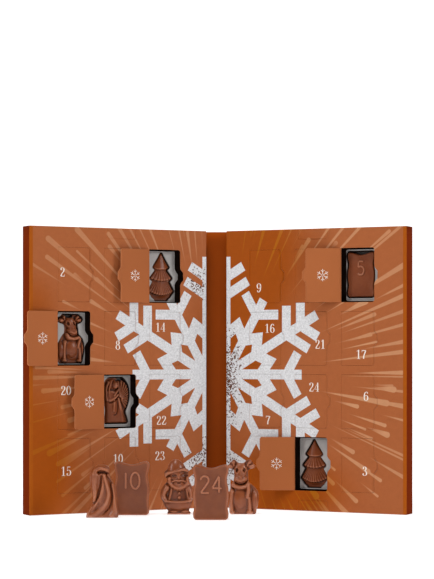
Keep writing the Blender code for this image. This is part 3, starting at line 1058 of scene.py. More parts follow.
# outlines: height share, then left and right half widths, or one for both, in millimetres
chocolateOutlines = {
    'tree': ((0, 6.9), (.03, 7.6), (.07, 10.4), (.12, 12.0), (.165, 14.1), (.185, 14.7),
             (.205, 14.6), (.23, 13.9), (.32, 11.4), (.385, 9.7), (.405, 9.6), (.43, 10.9),
             (.455, 12.5), (.475, 12.6), (.495, 12.0), (.56, 9.4), (.625, 6.8), (.65, 6.6),
             (.67, 7.5), (.69, 8.9), (.71, 9.1), (.73, 8.5), (.80, 6.3), (.90, 3.2), (.97, 1.3),
             (1, .5)),
    'reindeer': ((0, 12.0, 11.4), (.03, 13.2, 12.4), (.08, 13.4, 12.9), (.18, 13.9, 14.2),
                 (.30, 14.0, 14.9), (.40, 13.2, 14.3), (.48, 12.0, 11.8), (.53, 11.3, 9.0),
                 (.57, 10.4, 6.6), (.60, 9.2, 5.4), (.65, 8.9, 5.0), (.72, 8.6, 4.7),
                 (.79, 8.6, 4.6), (.82, 9.6, 5.4), (.845, 13.4, 9.0), (.87, 15.1, 10.9),
                 (.90, 15.4, 11.7), (.925, 14.9, 11.7), (.945, 13.0, 10.8), (.96, 11.3, 9.4),
                 (.98, 10.6, 8.4), (1, 9.6, 7.2)),
    'angel': ((0, 12.6, 11.6), (.03, 13.2, 12.7), (.12, 12.9, 11.5), (.20, 12.3, 10.1),
              (.26, 12.0, 9.6), (.31, 12.1, 10.6), (.40, 12.8, 12.4), (.50, 13.2, 13.7),
              (.58, 13.2, 14.2), (.66, 13.2, 14.4), (.76, 13.2, 14.0), (.84, 13.2, 12.8),
              (.90, 12.9, 11.0), (.94, 11.9, 9.6), (.975, 9.8, 8.0), (1, 7.2, 6.4)),
    'slab': ((0, 12.6), (.015, 13.9), (.045, 14.9), (.10, 15.1), (.18, 14.5), (.26, 14.2),
             (.36, 14.7), (.46, 15.1), (.56, 14.9), (.66, 14.0, 13.9), (.74, 13.8, 13.6),
             (.84, 14.7, 14.6), (.92, 15.2), (.965, 14.7), (.99, 13.6), (1, 12.6)),
    'figure': ((0, 8.2, 12.4), (.02, 8.7, 12.9), (.04, 8.5, 12.7), (.055, 8.0, 11.6),
               (.09, 8.8, 11.8), (.13, 10.6, 12.8), (.18, 12.0, 13.8), (.24, 13.2, 14.5),
               (.29, 14.6, 15.1), (.34, 15.1, 15.1), (.40, 15.0, 15.1), (.46, 13.9, 14.6),
               (.52, 12.3, 13.5), (.56, 10.5, 12.5), (.61, 8.9, 11.9), (.65, 9.1, 11.4),
               (.68, 10.4, 10.9), (.71, 11.6, 10.8), (.75, 11.7, 10.9), (.79, 10.7, 11.1),
               (.815, 9.2, 10.4), (.84, 8.5, 8.5), (.88, 7.9, 7.4), (.93, 6.8, 5.7),
               (.965, 5.3, 3.9), (.988, 3.5, 2.0), (1, 1.4, 0.1)),
    'sack': ((0, 14.2, 14.2), (.02, 14.6, 14.9), (.06, 14.2, 15.1), (.11, 13.2, 14.7),
             (.18, 11.2, 14.2), (.24, 9.7, 13.8), (.31, 8.7, 13.3), (.38, 8.4, 12.8),
             (.46, 9.0, 12.4), (.54, 9.9, 11.8), (.62, 10.8, 10.9), (.69, 11.2, 9.4),
             (.76, 11.2, 7.9), (.82, 11.0, 6.9), (.86, 10.6, 6.7), (.90, 9.9, 6.9),
             (.94, 8.2, 6.7), (.97, 6.2, 5.6), (.99, 4.4, 3.9), (1, 3.0, 2.4)),
}


def outlineOf(kind):
    return np.array([(row[0], row[1], row[-1]) for row in chocolateOutlines[kind]])


def formLayers(x, z, forms):
    # a form that starts with a path is a ridge, any other is a blob
    return [(ridge if isinstance(form[0], tuple) else blob)(x, z, *form) for form in forms]


def furrowed(depth, x, z, furrows):
    # takes furrows, each a path, a width and a depth, out of a relief
    for furrow in furrows:
        depth = depth - crease(x, z, *furrow)
    return depth


def reliefTree(x, z, t):
    # three pleated skirts, each a half cone with a scalloped lower edge, over a plain foot
    depth = 5.2 * np.sqrt(np.maximum(1 - (x / 12) ** 2, 0)) * np.clip(0.6 + z / 12, 0, 1)
    tiers = ((4.4, 9.6, 15.2, 21.6, 8.8, 11, 1.15), (19.6, 23.4, 13.0, 33.6, 8.6, 7, 0.95),
             (31.8, 35.0, 9.6, 52.0, 8.4, 2, 0.50))
    for low, ends, half, top, out, pleats, deep in tiers:
        fan = np.arctan2(x, top + 5 - z) / np.arctan2(half, top + 5 - ends)
        wave = np.abs(np.sin((fan + 1) * pleats * pi / 2))
        edge = low + (ends - low) * np.clip(np.abs(x) / half, 0, 1.2) ** 2 + 0.8 * deep * (1 - wave)
        rise = np.clip((z - edge) / (top - edge), 0, 1)
        width = np.maximum(half * (1 - rise * 0.55) * 1.06, 0.3)
        skirt = (out - 2.6 * rise) * (1 - 0.40 * np.clip(np.abs(x) / width, 0, 1) ** 1.4)
        skirt = skirt + deep * (wave - 0.7) * np.clip(1.35 - rise, 0, 1)
        lip = np.clip((z - edge) / 0.8, 0, 1) ** 0.5
        depth = np.where((z > edge) & (z < top), np.maximum(depth, skirt * lip), depth)
    return depth


def reliefReindeer(x, z, t):
    # seated animal: round belly between two straight legs, thick scarf with a tail, round muzzle,
    # small two-lobed antlers; the head sits a little to the left of the haunches
    h = -2.6                           # middle of the head
    forms = formLayers(x, z, (
        (.3, 13.4, 14.9, 14.6, 6.4), (-2.8, 14.4, 11.4, 12.4, 8.3),
        (10.6, 12.2, 5.0, 12.6, 7.6), (-14.6, 12.6, 5.2, 12.0, 7.4),
        (-11.2, 1.9, 3.6, 2.8, 8.7), (6.4, 1.9, 3.9, 2.8, 8.7),
        (((-10.8, 21), (-11.5, 12), (-11.2, 3)), (3.2, 2.7), 8.2),
        (((5.4, 15), (6.2, 9), (6.3, 3)), (2.8, 2.6), 8.3),
        (((-10.2, 28.6), (-8.0, 26.0), (-2.8, 24.7), (2.6, 25.8), (5.0, 28.4)), 2.8, 8.7),
        (((4.4, 27.2), (4.9, 22), (3.8, 15.8)), (2.6, 2.8), 9.0),
        (h, 42.0, 7.0, 6.6, 8.7, 0, .3), (h - .2, 32.6, 7.4, 5.4, 9.5, 0, .42),
        (h, 38.0, 6.0, 7.0, 8.4, 0, .3), (h - 9.6, 44.4, 4.8, 3.2, 8.0),
        (((h - 6.4, 45.0), (h - 6.8, 46.6), (h - 7.0, 47.6)), (1.4, 2.3), 8.2),
        (h + 10.4, 44.6, 5.2, 3.2, 8.0),
        (((h + 6.6, 45.0), (h + 8.0, 46.8), (h + 9.0, 47.6)), (1.4, 2.3), 8.2)))
    depth = softMost(forms + [np.full_like(x, 2.0)], 3.0)
    for side in (-1, 1):               # an eye in its hollow, a nostril and the groove of an antler
        depth = depth - blob(x, z, h + side * 3.3, 40.6, 1.5, 2.3, 2.7)
        depth = depth + blob(x, z, h + side * 3.0, 39.3, .8, .8, 1.3)
        depth = depth - blob(x, z, h + side * 2.1, 33.8, .7, .8, .8)
        groove = ((h + side * 6.6, 45.4), (h + side * 8.6, 45.9), (h + side * 11.6, 46.6))
        depth = depth - crease(x, z, groove, .6, .9)
    return furrowed(depth, x, z, (
        (((h - 4.6, 30.6), (h, 29.2), (h + 4.2, 30.6)), .5, 1.1),
        (((-7.6, 8.6), (-4.6, 5.4), (-1.4, 5.4), (2.4, 8.6)), .8, .5)))


def reliefFigure(x, z, t):
    # bearded man in a dome cap with a rolled brim, arms round an open coat, bowl-shaped skirt
    # on a plain foot
    f = 2.0                            # middle of the face
    forms = formLayers(x, z, (
        (-.5, 38.0, 8.9, 13.2, 8.4, 3),
        (((-10.0, 36.2), (-7.2, 37.8), (-.6, 39.6), (5.6, 40.8), (9.6, 40.2)), (2.2, 1.8), 9.5),
        (f, 33.6, 8.4, 6.6, 7.0), (f, 28.4, 9.8, 6.2, 8.7),
        (((f - 8.6, 32.6), (f - 7.4, 28.2), (f - 4, 25.4), (f, 24.4), (f + 4.2, 25.4),
          (f + 7.8, 28.4), (f + 8.8, 32.6)), 3.1, 8.7),
        (f, 33.4, 1.4, 2.6, 9.3),
        (((f - .4, 31.0), (f - 3.0, 31.2), (f - 6.2, 30.0)), (1.6, 1.0), 9.2),
        (((f + .4, 31.0), (f + 3.0, 31.2), (f + 6.2, 30.0)), (1.6, 1.0), 9.2),
        (((-8.8, 24.4), (-11.6, 20.4), (-12.0, 16.4), (-9.6, 12.6)), (3.7, 2.6), 7.8),
        (((10.4, 24.4), (12.8, 20.4), (13.2, 16.4), (11.6, 12.8)), (3.4, 2.6), 7.7),
        (((-4.8, 23.4), (-5.8, 18), (-7.2, 12.8)), (1.5, 1.4), 7.5),
        (((9.2, 23.4), (10.2, 18), (11.2, 12.8)), (1.4, 1.3), 7.4),
        (((-10.8, 12.7), (-6, 11.9), (2, 11.6), (8, 11.9), (13.0, 12.9)), 1.3, 9.0),
        (-2.4, 2.4, 5.0, 2.2, 7.2), (7.4, 2.4, 5.2, 2.2, 7.2)))
    body = 1.6 + 3.2 * np.sqrt(np.maximum(1 - t * t, 0))
    skirt = blob(x, z, 1.4, 10.6, 13.4, 8.8, 8.2) * np.clip(12.6 - z, 0, 1)
    foot = np.where(z < 1.7, 7.0, 2.0)
    curls = [blob(x, z, f + 9.9 * cos(a), 32.2 + 9.7 * sin(a), 1.7, 1.7, 7.4)
             for a in np.radians(np.linspace(196, 344, 10))]
    depth = softMost(forms + [body, skirt, foot] + curls, 3.0)
    for up, size in ((19.4, 1.1), (15.2, 1.6)):
        depth = depth + blob(x, z, 2.4, up, size, size, 1.9)
    for eye, up in ((f - 3.9, 35.3), (f + 3.9, 35.7)):
        depth = depth - blob(x, z, eye, up, 2.7, 1.9, 1.7) + blob(x, z, eye, up - .5, .9, .6, 0.4)
    return depth - blob(x, z, f + .1, 28.9, 2.3, .8, 1.5)


# how far the wing reaches at each lean, in degrees from level
wingReach = ((-54, 13.0), (-38, 11.4), (-11, 9.6), (28, 10.8), (51, 13.4), (66, 16.6),
             (80, 18.6), (96, 19.0))


def reliefAngel(x, z, t):
    # robed figure half turned: round head with hair down the back, hands folded before the chin,
    # a drop-shaped hanging sleeve, and one wing fanned out on the right
    right = np.where(z < 27, 2.0 + (27 - z) * 0.40, 2.0 - (z - 27) * 0.10)
    across = np.clip((x + 13 - (right + 13) / 2) / ((right + 13) / 2), -1, 1)
    robe = 7.4 * np.sqrt(1 - across ** 4) * np.clip((38 - z) / 3, 0, 1)
    feathers = []
    for lean in np.interp(np.linspace(0, 1, 12), [0, 0.5, 1], [96, 36, -54]):
        c, s, reach = cos(radians(lean)), sin(radians(lean)), np.interp(lean, *zip(*wingReach))
        path = ((4.2 + 1.6 * c, 27 + 1.6 * s), (4.2 + reach * c, 27 + reach * s))
        feathers.append(ridge(x, z, path, (.5, 1.7), 7.3))
    forms = [np.maximum.reduce(feathers), robe] + formLayers(x, z, (
        (-4.9, 43.0, 7.4, 7.0, 8.0), (-1.1, 42.0, 4.6, 5.8, 8.9),
        (((-9.2, 45), (-11.6, 39), (-12.0, 31), (-10.6, 25)), (2.2, 2.0), 7.6),
        (((-6.8, 44), (-8.4, 38), (-8.4, 32), (-7.8, 27.6)), (1.8, 1.5), 8.0),
        (((-8.2, 24.8), (-3.2, 27.0), (1.4, 31.0)), (3.0, 2.2), 8.5),
        (((-3.2, 30.0), (-.4, 33.8), (1.6, 36.8)), (2.2, 1.3), 9.0),
        (((-2.8, 25), (-3.2, 19), (-3.6, 13.6)), (2.4, 4.0), 8.5),
        (((2.2, 27), (4.6, 15), (6.8, 1)), (2.0, 5.4), 8.0)))
    depth = furrowed(softMost(forms + [np.full_like(x, 2.0)], 3.4), x, z, (
        (((-2.6, 47.8), (-5.2, 43.4), (-4.6, 38.4)), .7, 1.8),
        (((-5.2, 37.4), (-2.2, 35.8), (1.2, 38.0)), .9, 2.4),
        (((-9.8, 22.4), (-4.2, 23.2), (1.8, 28.0)), .7, 1.8),
        (((1.0, 25), (1.4, 17), (-.2, 9.8), (-5.0, 8.6)), .7, 1.4)))
    return depth - blob(x, z, .2, 42.8, .8, .7, 1.2)


def reliefSlab(x, z, t):
    # nearly flat plate with a soft raised rim
    up = (z - 25) / 25
    edge = np.maximum(np.abs(t) ** 7, np.abs(up) ** 9)
    return 6.0 + 0.35 * edge - 0.05 * np.sin(x * 0.5) * np.cos(z * 0.3)


def reliefSack(x, z, t):
    # cloth gathered and curled over at the top; a smooth bulge on the left, broad folds
    # sweeping right and down
    body = 3.4 + 3.8 * np.sqrt(np.maximum(1 - t * t, 0))
    forms = [body] + formLayers(x, z, (
        (((-5.8, 40.0), (-6.4, 31), (-6.2, 24), (-6.6, 16.5)), (4.8, 2.6), 8.9),
        (((-6.8, 41.6), (-5.4, 45.0), (-1.6, 46.8), (3.0, 46.0), (5.0, 44.6)), (3.3, 2.8), 9.3),
        (((2.0, 40.5), (4.5, 31.3), (6.2, 22), (3.2, 12), (-3.6, 5.6), (-10, 2.6)),
         (2.3, 4.4), 8.9),
        (((10.6, 31), (12.2, 20), (11.8, 8), (9, 2)), (2.8, 4.6), 8.3),
        (((4.8, 42), (8.0, 37.2), (10.4, 33.2)), (1.1, .9), 8.0),
        (((-3.4, 17.5), (-7, 10.6), (-12, 4)), (2.8, 4.8), 8.2),
        (((.6, 38), (1.2, 28), (-1.6, 16)), (2.2, 4.6), 8.0)))
    return furrowed(softMost(forms, 2.6), x, z, (
        (((.1, 42), (-.6, 34), (-2.2, 26), (-4.8, 17), (-9.6, 10)), 1.0, 2.2),
        (((6.2, 38), (8.8, 28), (9.8, 19), (6.8, 9.6), (0, 2.6)), .8, 1.8),
        (((-4.2, 42.2), (-.8, 43.3), (2.4, 43.0), (6.4, 41.6)), 1.2, 4.0)))


reliefs = {'tree': reliefTree, 'reindeer': reliefReindeer, 'figure': reliefFigure,
           'angel': reliefAngel, 'slab': reliefSlab, 'sack': reliefSack}


def smoothOutline(outline, v):
    # cubic curve through the outline's half widths, level where a width turns back
    h = np.diff(outline[:, 0])
    widths = []
    for w in outline[:, 1:].T:
        slope = np.diff(w) / h
        turn = slope[:-1] * slope[1:]
        inner = np.where(turn > 0, 2 * turn / np.where(turn > 0, slope[:-1] + slope[1:], 1), 0)
        m = np.concatenate([[slope[0]], inner, [slope[-1]]])
        i = np.clip(np.searchsorted(outline[:, 0], v, 'right') - 1, 0, len(h) - 1)
        f = (v - outline[i, 0]) / h[i]
        a, b = 2 * f ** 3 - 3 * f ** 2 + 1, f ** 3 - 2 * f ** 2 + f
        widths.append(a * w[i] + b * h[i] * m[i]
                      + (1 - a) * w[i + 1] + (f ** 3 - f ** 2) * h[i] * m[i + 1])
    return widths


def headTurn(kind, loose, z):
    # a reindeer in a pocket holds its head a little to the right of its body
    if kind != 'reindeer' or loose:
        return np.zeros_like(z)
    return mould['headTurn'] * np.interp(z, [20, 30, 37, 44, 50], [0, 1, 1, 0.4, 0.35])


def chocolateShell(kind, wide, height, depth, fine, loose):
    # rows up the outline, columns across it; the relief in front, a flat back, closed all round
    outline = outlineOf(kind)
    rows = int(chocolateGrid['rows'] * fine)
    columns = int(chocolateGrid['columns'] * fine)
    v = np.unique(np.concatenate([0.5 - 0.5 * np.cos(np.linspace(0, pi, rows)),
                                  np.linspace(0, 1, rows // 2), outline[:, 0]]).round(3))
    left, right = smoothOutline(outline, v)
    t = np.sin(np.linspace(-pi / 2, pi / 2, columns)) * 0.6 + np.linspace(-1, 1, columns) * 0.4
    middle, half = (right - left) / 2, (right + left) / 2
    x = middle[:, None] + half[:, None] * t
    z = np.repeat(v[:, None] * mould['height'], columns, 1)
    nearTop = np.clip((v[:, None] - 0.8) / 0.2, 0, 1)
    if kind == 'slab':                 # the top edge dips between two horns
        dip = np.cos(pi * np.clip(t * 0.9, -1, 1) / 2)[None] ** 2
        z = z - 3.3 * dip * np.clip((v[:, None] - 0.5) / 0.5, 0, 1) ** 2
    if kind == 'reindeer':             # the head sinks between the antlers, which round off outside
        off = x + 2.0
        drop = 3.0 * np.exp(-(off / 4.6) ** 4)
        drop = drop + 0.6 * np.clip((np.abs(off) - 9.0) / 1.6, 0, 2) ** 2
        z = z - drop * nearTop
    if kind == 'angel':                # a notch between the hair and the wing
        drop = 4.4 * np.exp(-((x - 3.2) / 1.7) ** 2) + 2.4 * np.clip((x - 2.0) / 3, 0, 1)
        z = z - drop * nearTop
    turned = x
    if kind == 'reindeer' and not loose:          # its legs and muzzle stand right of the middle
        turned = x - mould['legTurn'] * np.interp(z, [28, 32, 38, 44], [1, 0.7, 0.3, 0.2])
    face = reliefs[kind](turned, z, np.repeat(t[None], len(v), 0)) * depth / mould['full']
    rim = mould['rim']
    nearSide = np.minimum(half[:, None] * (1 - np.abs(t)), np.minimum(v, 1 - v)[:, None] * height)
    lift = np.sqrt(np.clip(1 - (1 - np.clip(nearSide / mould['round'], 0, 1)) ** 2, 0, 1))
    face = rim + (np.maximum(face, rim) - rim) * lift
    face = np.minimum(face, depth)
    level = face                       # local mean of the relief, to tell hollows (painted shade) from crests (painted highlight)
    for _ in range(int(24 * fine * fine)):
        padded = np.pad(level, 1, 'edge')
        level = (padded[:-2, 1:-1] + padded[2:, 1:-1] + padded[1:-1, :-2] + padded[1:-1, 2:]) / 4
    # above 0 for painted shade in hollows, below 0 for painted highlight on crests; a loose one's
    # rounded edges get painted highlight, a pocketed one's keep only painted shade
    hollow = np.clip((level - face) / 0.8, -1, 1)
    edge = mould['paintedHighlight'] if loose else np.maximum(hollow, 0)
    hollow = hollow * lift + edge * (1 - lift)
    hollow = np.concatenate([hollow, np.zeros_like(hollow)], 1)
    x, z = (x + headTurn(kind, loose, z)) * wide, z * height / mould['height']
    front = np.stack([x, -face, z], -1)
    back = np.stack([x[:, ::-1], np.zeros_like(x), z[:, ::-1]], -1)
    ring = np.concatenate([front, back], 1)
    count = ring.shape[1]
    i = np.arange(columns - 1)
    cap = np.stack([i, count - 1 - i, count - 2 - i, i + 1], -1)
    faces = np.concatenate([gridQuads(len(v), count, wrap=True), cap,
                            cap[:, ::-1] + (len(v) - 1) * count])
    return ring.reshape(-1, 3), faces.tolist(), hollow.ravel()


embossedLines = {
    # plain upright numerals for the slabs, in a box 0.6 wide and 1 high
    '0': [[(.30 + .27 * cos(a), .5 + .5 * sin(a)) for a in np.linspace(0, 2 * pi, 25)]],
    '1': [[(.30, 0), (.30, 1)]],
    '2': [[(.06, .76), (.12, .92), (.30, 1), (.50, .91), (.53, .70), (.38, .44), (.06, 0)],
          [(.06, 0), (.56, 0)]],
    '4': [[(.42, 1), (.02, .28)], [(.02, .28), (.58, .28)], [(.42, 0), (.42, 1)]],
    '5': [[(.52, 1), (.14, 1)], [(.14, 1), (.10, .54)],
          [(.10, .54), (.28, .62), (.50, .50), (.54, .28), (.44, .06), (.24, 0), (.06, .10)]],
    '6': [[(.46, 1), (.22, .70), (.06, .34), (.14, .06), (.30, 0), (.48, .08), (.55, .30),
           (.46, .52), (.30, .58), (.12, .50)]],
    '7': [[(.04, 1), (.56, 1)], [(.56, 1), (.36, .5), (.24, 0)]],
}


def digitTubes(text, middle, height, radius, y):
    # raised numerals: a half-sunk round bar carried along each line
    parts, sides = [], 10
    pitches = [0.42 if digit == '1' else 0.74 for digit in text]
    start = middle[0] - sum(pitches) * height / 2
    for digit, pitch in zip(text, pitches):
        for line in embossedLines[digit]:
            path = smoothPath(line, max(24, 5 * len(line))) * height
            path = path + [start + (pitch / 2 - 0.30) * height, middle[1] - height / 2]
            run = np.concatenate([[0], np.linalg.norm(np.diff(path, axis=0), axis=1).cumsum()])
            toEnd = np.clip(np.minimum(run, run[-1] - run) / radius, 0.02, 1)
            step, count = np.gradient(path, axis=0), len(path)
            if np.allclose(path[0], path[-1]):
                thin = np.ones(count)
                step[0] = step[-1] = path[1] - path[-2]
            else:                      # round ends
                thin = np.sqrt(np.clip(1 - (1 - toEnd) ** 2, 0, 1))
            step /= np.maximum(np.linalg.norm(step, axis=1, keepdims=True), 1e-9)
            a = np.linspace(0, 2 * pi, sides, endpoint=False)
            side = np.stack([-step[:, 1], np.zeros(count), step[:, 0]], -1)[:, None]
            # each line lies a hair further out than the last, so crossings don't flicker
            level = np.full(count, y - 0.04 * len(parts))
            centre = np.stack([path[:, 0], level, path[:, 1]], -1)[:, None]
            ring = np.cos(a)[None, :, None] * side
            ring = ring + np.sin(a)[None, :, None] * np.array([0, 1.0, 0])
            tube = centre + radius * thin[:, None, None] * ring
            faces = gridQuads(count, sides, wrap=True).tolist()
            faces += [list(range(sides)), list(range((count - 1) * sides, count * sides))[::-1]]
            parts.append((tube.reshape(-1, 3), faces))
        start += pitch * height
    return parts


pocketChocolates = {
    5: 'tree', 11: 'reindeer', 1: 'angel', 19: 'slab', 13: 'tree', 18: 'slab', 8: 'tree',
    14: 'sack', 20: 'figure', 22: 'angel', 23: 'reindeer', 4: 'tree', 16: 'figure', 21: 'angel',
    17: 'sack', 7: 'slab', 6: 'reindeer', 12: 'figure', 3: 'sack',
}
looseChocolates = {
    # kind, width share
    2: ('sack', 1.10), 10: ('slab', 1.19), 15: ('figure', 1.11), 24: ('slab', 1.18),
    9: ('reindeer', 1.08),
}
pocketFits = {
    # height of a chocolate and of its foot above its window's lower edge, by number or kind
    5: (49.8, 3.0), 11: (49.8, 3.0), 1: (47.5, 5.2), 19: (47.5, 5.2),
    'slab': (48.8, 3.8), 'angel': (48.8, 3.8), 'other': (49.4, 3.4),
}
slabNumerals = {19: '5', 18: '6', 7: '17', 10: '10', 24: '24'}
embossed = {'up': 0.64, 'height': 0.30, 'radius': 0.95, 'proud': 0.25, 'plate': 6.0}
pocket = {
    'floor': 2.3, 'land': 9.0, 'base': 1.6, 'clear': 0.35, 'draft': 2.0, 'corner': 4.0,
    'lip': 0.35, 'sheetDepth': 8.8, 'looseDepth': 10.0,
    'step': 0.34, 'closedStep': 1.3,              # grid of the tray under open and closed doors
    'sideRoom': 0.6, 'endRoom': 1.5,              # between the tray and the carton's walls
}


def chocolatePiece(number, kind, place, wide, height, depth, body, fine):
    # one moulded chocolate, with raised numerals if it is a slab
    loose = number in looseChocolates
    points, faces, hollow = chocolateShell(kind, wide, height, depth, fine, loose)
    parts = [(points, faces)]
    if kind == 'slab':
        top = -(embossed['plate'] * depth / mould['full'])
        tall, middle = height * embossed['height'], (0.0, height * embossed['up'])
        parts += digitTubes(slabNumerals[number], middle, tall, embossed['radius'],
                            top - embossed['proud'])
        if loose:
            # a loose slab's flat ground is darkened with painted shade
            hollow = np.where(hollow > -0.2, hollow + mould['slabShade'], hollow)
    points, faces = joinParts(parts)
    # the raised numerals get painted highlight
    hollow = np.concatenate([hollow, np.full(len(points) - len(hollow), mould['paintedHighlight'])])
    node = 'chocolate_%02d_%s' % (number, kind)
    addPiece('chocolate%02d%s' % (number, kind.capitalize()), place.world(points), faces,
             looseFinish if loose else pocketShadedFinish, body, [node],
             marks={'hollow': hollow}, recalc=True)


def pocketSpot(tag, number, row):
    # kind and height of the chocolate that a pocket is made for, and the middle of its foot
    fit = pocketFits['other']
    if number in pocketChocolates:
        kind = pocketChocolates[number]
        fit = pocketFits.get(number, pocketFits.get(kind, fit))
    else:
        kind = looseChocolates[number][0]
    height, foot = fit
    x = hingeX(tag, number) + doorSizes['gap'] + doorSizes['width'] / 2
    z = leafSizes['rows'][row] - doorSizes['height'] / 2 + foot
    return kind, height, x, z


for tag, table in leafNumbers.items():
    for row, numbers in enumerate(table):
        for number in numbers:
            if number not in pocketChocolates:
                continue
            kind, height, x, z = pocketSpot(tag, number, row)
            seat = places[tag].moved(x, -(pocket['floor'] + doorSizes['gap']), z)
            isOpen = number in openDoors
            body = 'chocolate_%02d_%s_body' % (number, kind) if isOpen else tag + '_leaf'
            chocolatePiece(number, kind, seat, 1.0, height, pocket['sheetDepth'], body,
                           chocolateGrid['open' if isOpen else 'closed'])
for number, (kind, wide) in looseChocolates.items():
    node = 'chocolate_%02d_%s' % (number, kind)
    low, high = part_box(node)
    middle = [(low[0] + high[0]) / 2 / mm, high[1] / mm, 0]
    if kind == 'sack':                 # its solid isn't as wide on the right
        middle[0] = low[0] / mm + mould['halfWidth'] * wide
    stand = Place(middle, [1, 0, 0], [0, 1, 0])
    chocolatePiece(number, kind, stand, wide, (high[2] - low[2]) / mm, pocket['looseDepth'],
                   node + '_body', chocolateGrid['loose'])
print('chocolates built')


# The trays: one formed sheet in each leaf.

def signedInside(points, loop):
    # distance to a closed loop, positive inside
    a, b = loop[None], np.roll(loop, -1, 0)[None]
    p = points[:, None]
    e = b - a
    t = np.clip(((p - a) * e).sum(-1) / np.maximum((e * e).sum(-1), 1e-9), 0, 1)
    away = np.sqrt((((a + t[..., None] * e) - p) ** 2).sum(-1).min(1))
    rising = (a[..., 1] <= p[..., 1]) & (b[..., 1] > p[..., 1])
    falling = (a[..., 1] > p[..., 1]) & (b[..., 1] <= p[..., 1])
    left = e[..., 0] * (p[..., 1] - a[..., 1]) - e[..., 1] * (p[..., 0] - a[..., 0])
    winding = (rising & (left > 0)).sum(1) - (falling & (left < 0)).sum(1)
    return np.where(winding != 0, away, -away)


def smoothStep(value):
    # 0 up to 0, 1 from 1 on, level at both ends
    t = np.clip(value, 0, 1)
    return t * t * (3 - 2 * t)


def chocolateLoop(kind, height):
    # a mould's outline as a closed loop of points (x, z)
    outline = outlineOf(kind)
    turn = headTurn(kind, False, outline[:, 0] * mould['height'])
    right = np.stack([outline[:, 2] + turn, outline[:, 0] * height], -1)
    left = np.stack([turn - outline[:, 1], outline[:, 0] * height], -1)[::-1]
    return np.concatenate([right, left])


def trayCell(tag, number, row, box):
    # one island: the sheet's depth as a smooth function of the distance to two outlines
    x0, x1, z0, z1 = box
    fold, middle = hingeX(tag, number), leafSizes['rows'][row]
    step = pocket['step' if number in openDoors else 'closedStep']
    xs = np.unique(np.append(np.arange(fold - 1.5, fold + 42.5, step), [x0, x1]).clip(x0, x1))
    zs = np.unique(np.append(np.arange(middle - 30, middle + 30, step), [z0, z1]).clip(z0, z1))
    gx, gz = np.meshgrid(xs, zs)
    flat = np.stack([gx.ravel(), gz.ravel()], -1)
    island = doorLoop(-0.2) * [1, 1.035] + [fold, middle]
    kind, height, x, z = pocketSpot(tag, number, row)
    toIsland = signedInside(flat, island)
    # both corners on the fold side are rounded too
    r, half = pocket['corner'], doorSizes['height'] / 2 + 0.8
    low = np.stack([fold + 0.4 + r - flat[:, 0], np.abs(flat[:, 1] - middle) - half + r], -1)
    toIsland = np.minimum(toIsland, r - np.hypot(*np.maximum(low, 0).T) - np.minimum(low.max(1), 0))
    toPocket = signedInside(flat, chocolateLoop(kind, height) + [x, z])
    pastWall, outside = toIsland - pocket['draft'], -toPocket - pocket['clear']
    rise = smoothStep(toIsland / pocket['draft'])
    sink = smoothStep((0.9 - outside) / 1.5)
    lip = pocket['lip'] * np.exp(-((pastWall - 0.8) / 0.5) ** 2)
    depth = pocket['base'] + (pocket['land'] - pocket['base']) * rise
    depth = depth - (pocket['land'] - pocket['floor']) * sink * (rise > 0.5)
    depth = depth - lip * rise * (1 - sink)
    # where the lands take their painted grey reflection
    land = smoothStep((pastWall + 0.3) / 0.5) * smoothStep((outside - 0.5) / 0.9)
    return np.stack([gx.ravel(), -depth, gz.ravel()], -1), gridQuads(len(zs), len(xs)), land


def trayPiece(tag):
    # twelve islands side by side as one sheet
    xs, zs = cellBounds(tag)[1:]
    xs = [xs[0] + pocket['sideRoom']] + xs[1:3] + [xs[3] - pocket['sideRoom']]
    zs = [zs[0] - pocket['endRoom']] + zs[1:4] + [zs[4] + pocket['endRoom']]
    parts, lands = [], []
    for row, numbers in enumerate(leafNumbers[tag]):
        for column, number in enumerate(numbers):
            box = (xs[column], xs[column + 1], zs[row + 1], zs[row])
            points, faces, land = trayCell(tag, number, row, box)
            parts.append((points, faces))
            lands.append(land)
    points, faces = joinParts(parts)
    piece = addPiece(tag + 'Tray', places[tag].world(points), faces, trayFinish, tag + '_leaf',
                     [tag + '_tray'], marks={'land': np.concatenate(lands)})
    turnOutward(piece, -places[tag].into)


for tag in leafNumbers:
    trayPiece(tag)
print('trays built')


# Floor, light and camera.

studio = {
    'cameraX': 1.05, 'cameraY': -2058.0, 'cameraZ': 173.1, 'lens': 118.1, 'shiftY': 0.0984,
    'world': 0.13, 'floor': rgb(242, 242, 242), 'floorGlow': 0.66,
    # in metres: half the floor's width, its back wall's place and height, the bend between them
    'floorHalf': 6.0, 'wallBack': 2.2, 'wallHeight': 3.0, 'wallBend': 0.8, 'floorDrop': 0.0004,
    # name, place, what it points at, width, height and power
    'softboxes': (('rightSoftbox', (1.85, -0.95, 0.98), (-0.08, 0, 0.16), 0.5, 0.7, 16.8),
                  ('leftSoftbox', (-1.85, -0.95, 0.98), (0.08, 0, 0.16), 0.34, 1.1, 17.0),
                  ('topSoftbox', (-0.3, -1.0, 1.9), (0, 0, 0.12), 0.7, 0.5, 13.2)),
}


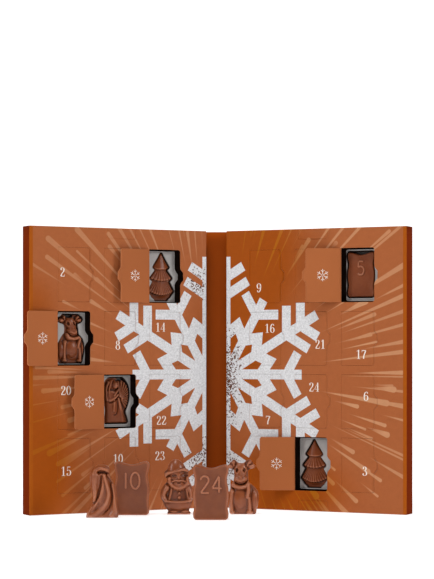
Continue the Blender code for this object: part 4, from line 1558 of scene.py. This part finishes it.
def buildStudio():
    # pale floor that bends up into a wall behind, three soft lights and the camera
    material, _, shader = newMaterial('paleFloor', 0.9, 0.0)
    shader.inputs['Base Color'].default_value = studio['floor']
    shader.inputs['Emission Color'].default_value = studio['floor']
    shader.inputs['Emission Strength'].default_value = studio['floorGlow']
    mesh = bpy.data.meshes.new('floor')
    half, back, bend = studio['floorHalf'], studio['wallBack'], studio['wallBend']
    arc = np.linspace(0.1, pi / 2, 12)
    y = np.concatenate([[-half, back - bend], back - bend + bend * np.sin(arc), [back]])
    z = np.concatenate([[0, 0], bend - bend * np.cos(arc), [studio['wallHeight']]])
    points = np.stack([np.tile([-half, half], len(y)), np.repeat(y, 2), np.repeat(z, 2)], -1)
    mesh.from_pydata(points.tolist(), [], gridQuads(len(y), 2).tolist())
    mesh.polygons.foreach_set('use_smooth', [True] * len(mesh.polygons))
    floor = bpy.data.objects.new('floor', mesh)
    scene.collection.objects.link(floor)
    mesh.materials.append(material)
    floor.location.z = -studio['floorDrop']

    world = bpy.data.worlds.new('studioWorld')
    scene.world = world
    world.use_nodes = True
    background = world.node_tree.nodes['Background'].inputs
    background['Color'].default_value = (1, 1, 1, 1)
    background['Strength'].default_value = studio['world']

    for name, place, target, width, height, power in studio['softboxes']:
        light = bpy.data.lights.new(name, 'AREA')
        light.shape, light.size, light.size_y, light.energy = 'RECTANGLE', width, height, power
        lamp = bpy.data.objects.new(name, light)
        scene.collection.objects.link(lamp)
        lamp.location = place
        lamp.rotation_euler = (Vector(target) - Vector(place)).to_track_quat('-Z', 'Y').to_euler()

    camera = bpy.data.objects.new('camera', bpy.data.cameras.new('camera'))
    scene.collection.objects.link(camera)
    camera.location = (studio['cameraX'] * mm, studio['cameraY'] * mm, studio['cameraZ'] * mm)
    camera.rotation_euler = (pi / 2, 0, 0)
    camera.data.lens = studio['lens']
    camera.data.sensor_width = 36
    camera.data.shift_y = studio['shiftY']
    camera.data.clip_end = 50
    scene.camera = camera


buildStudio()
print('studio built')
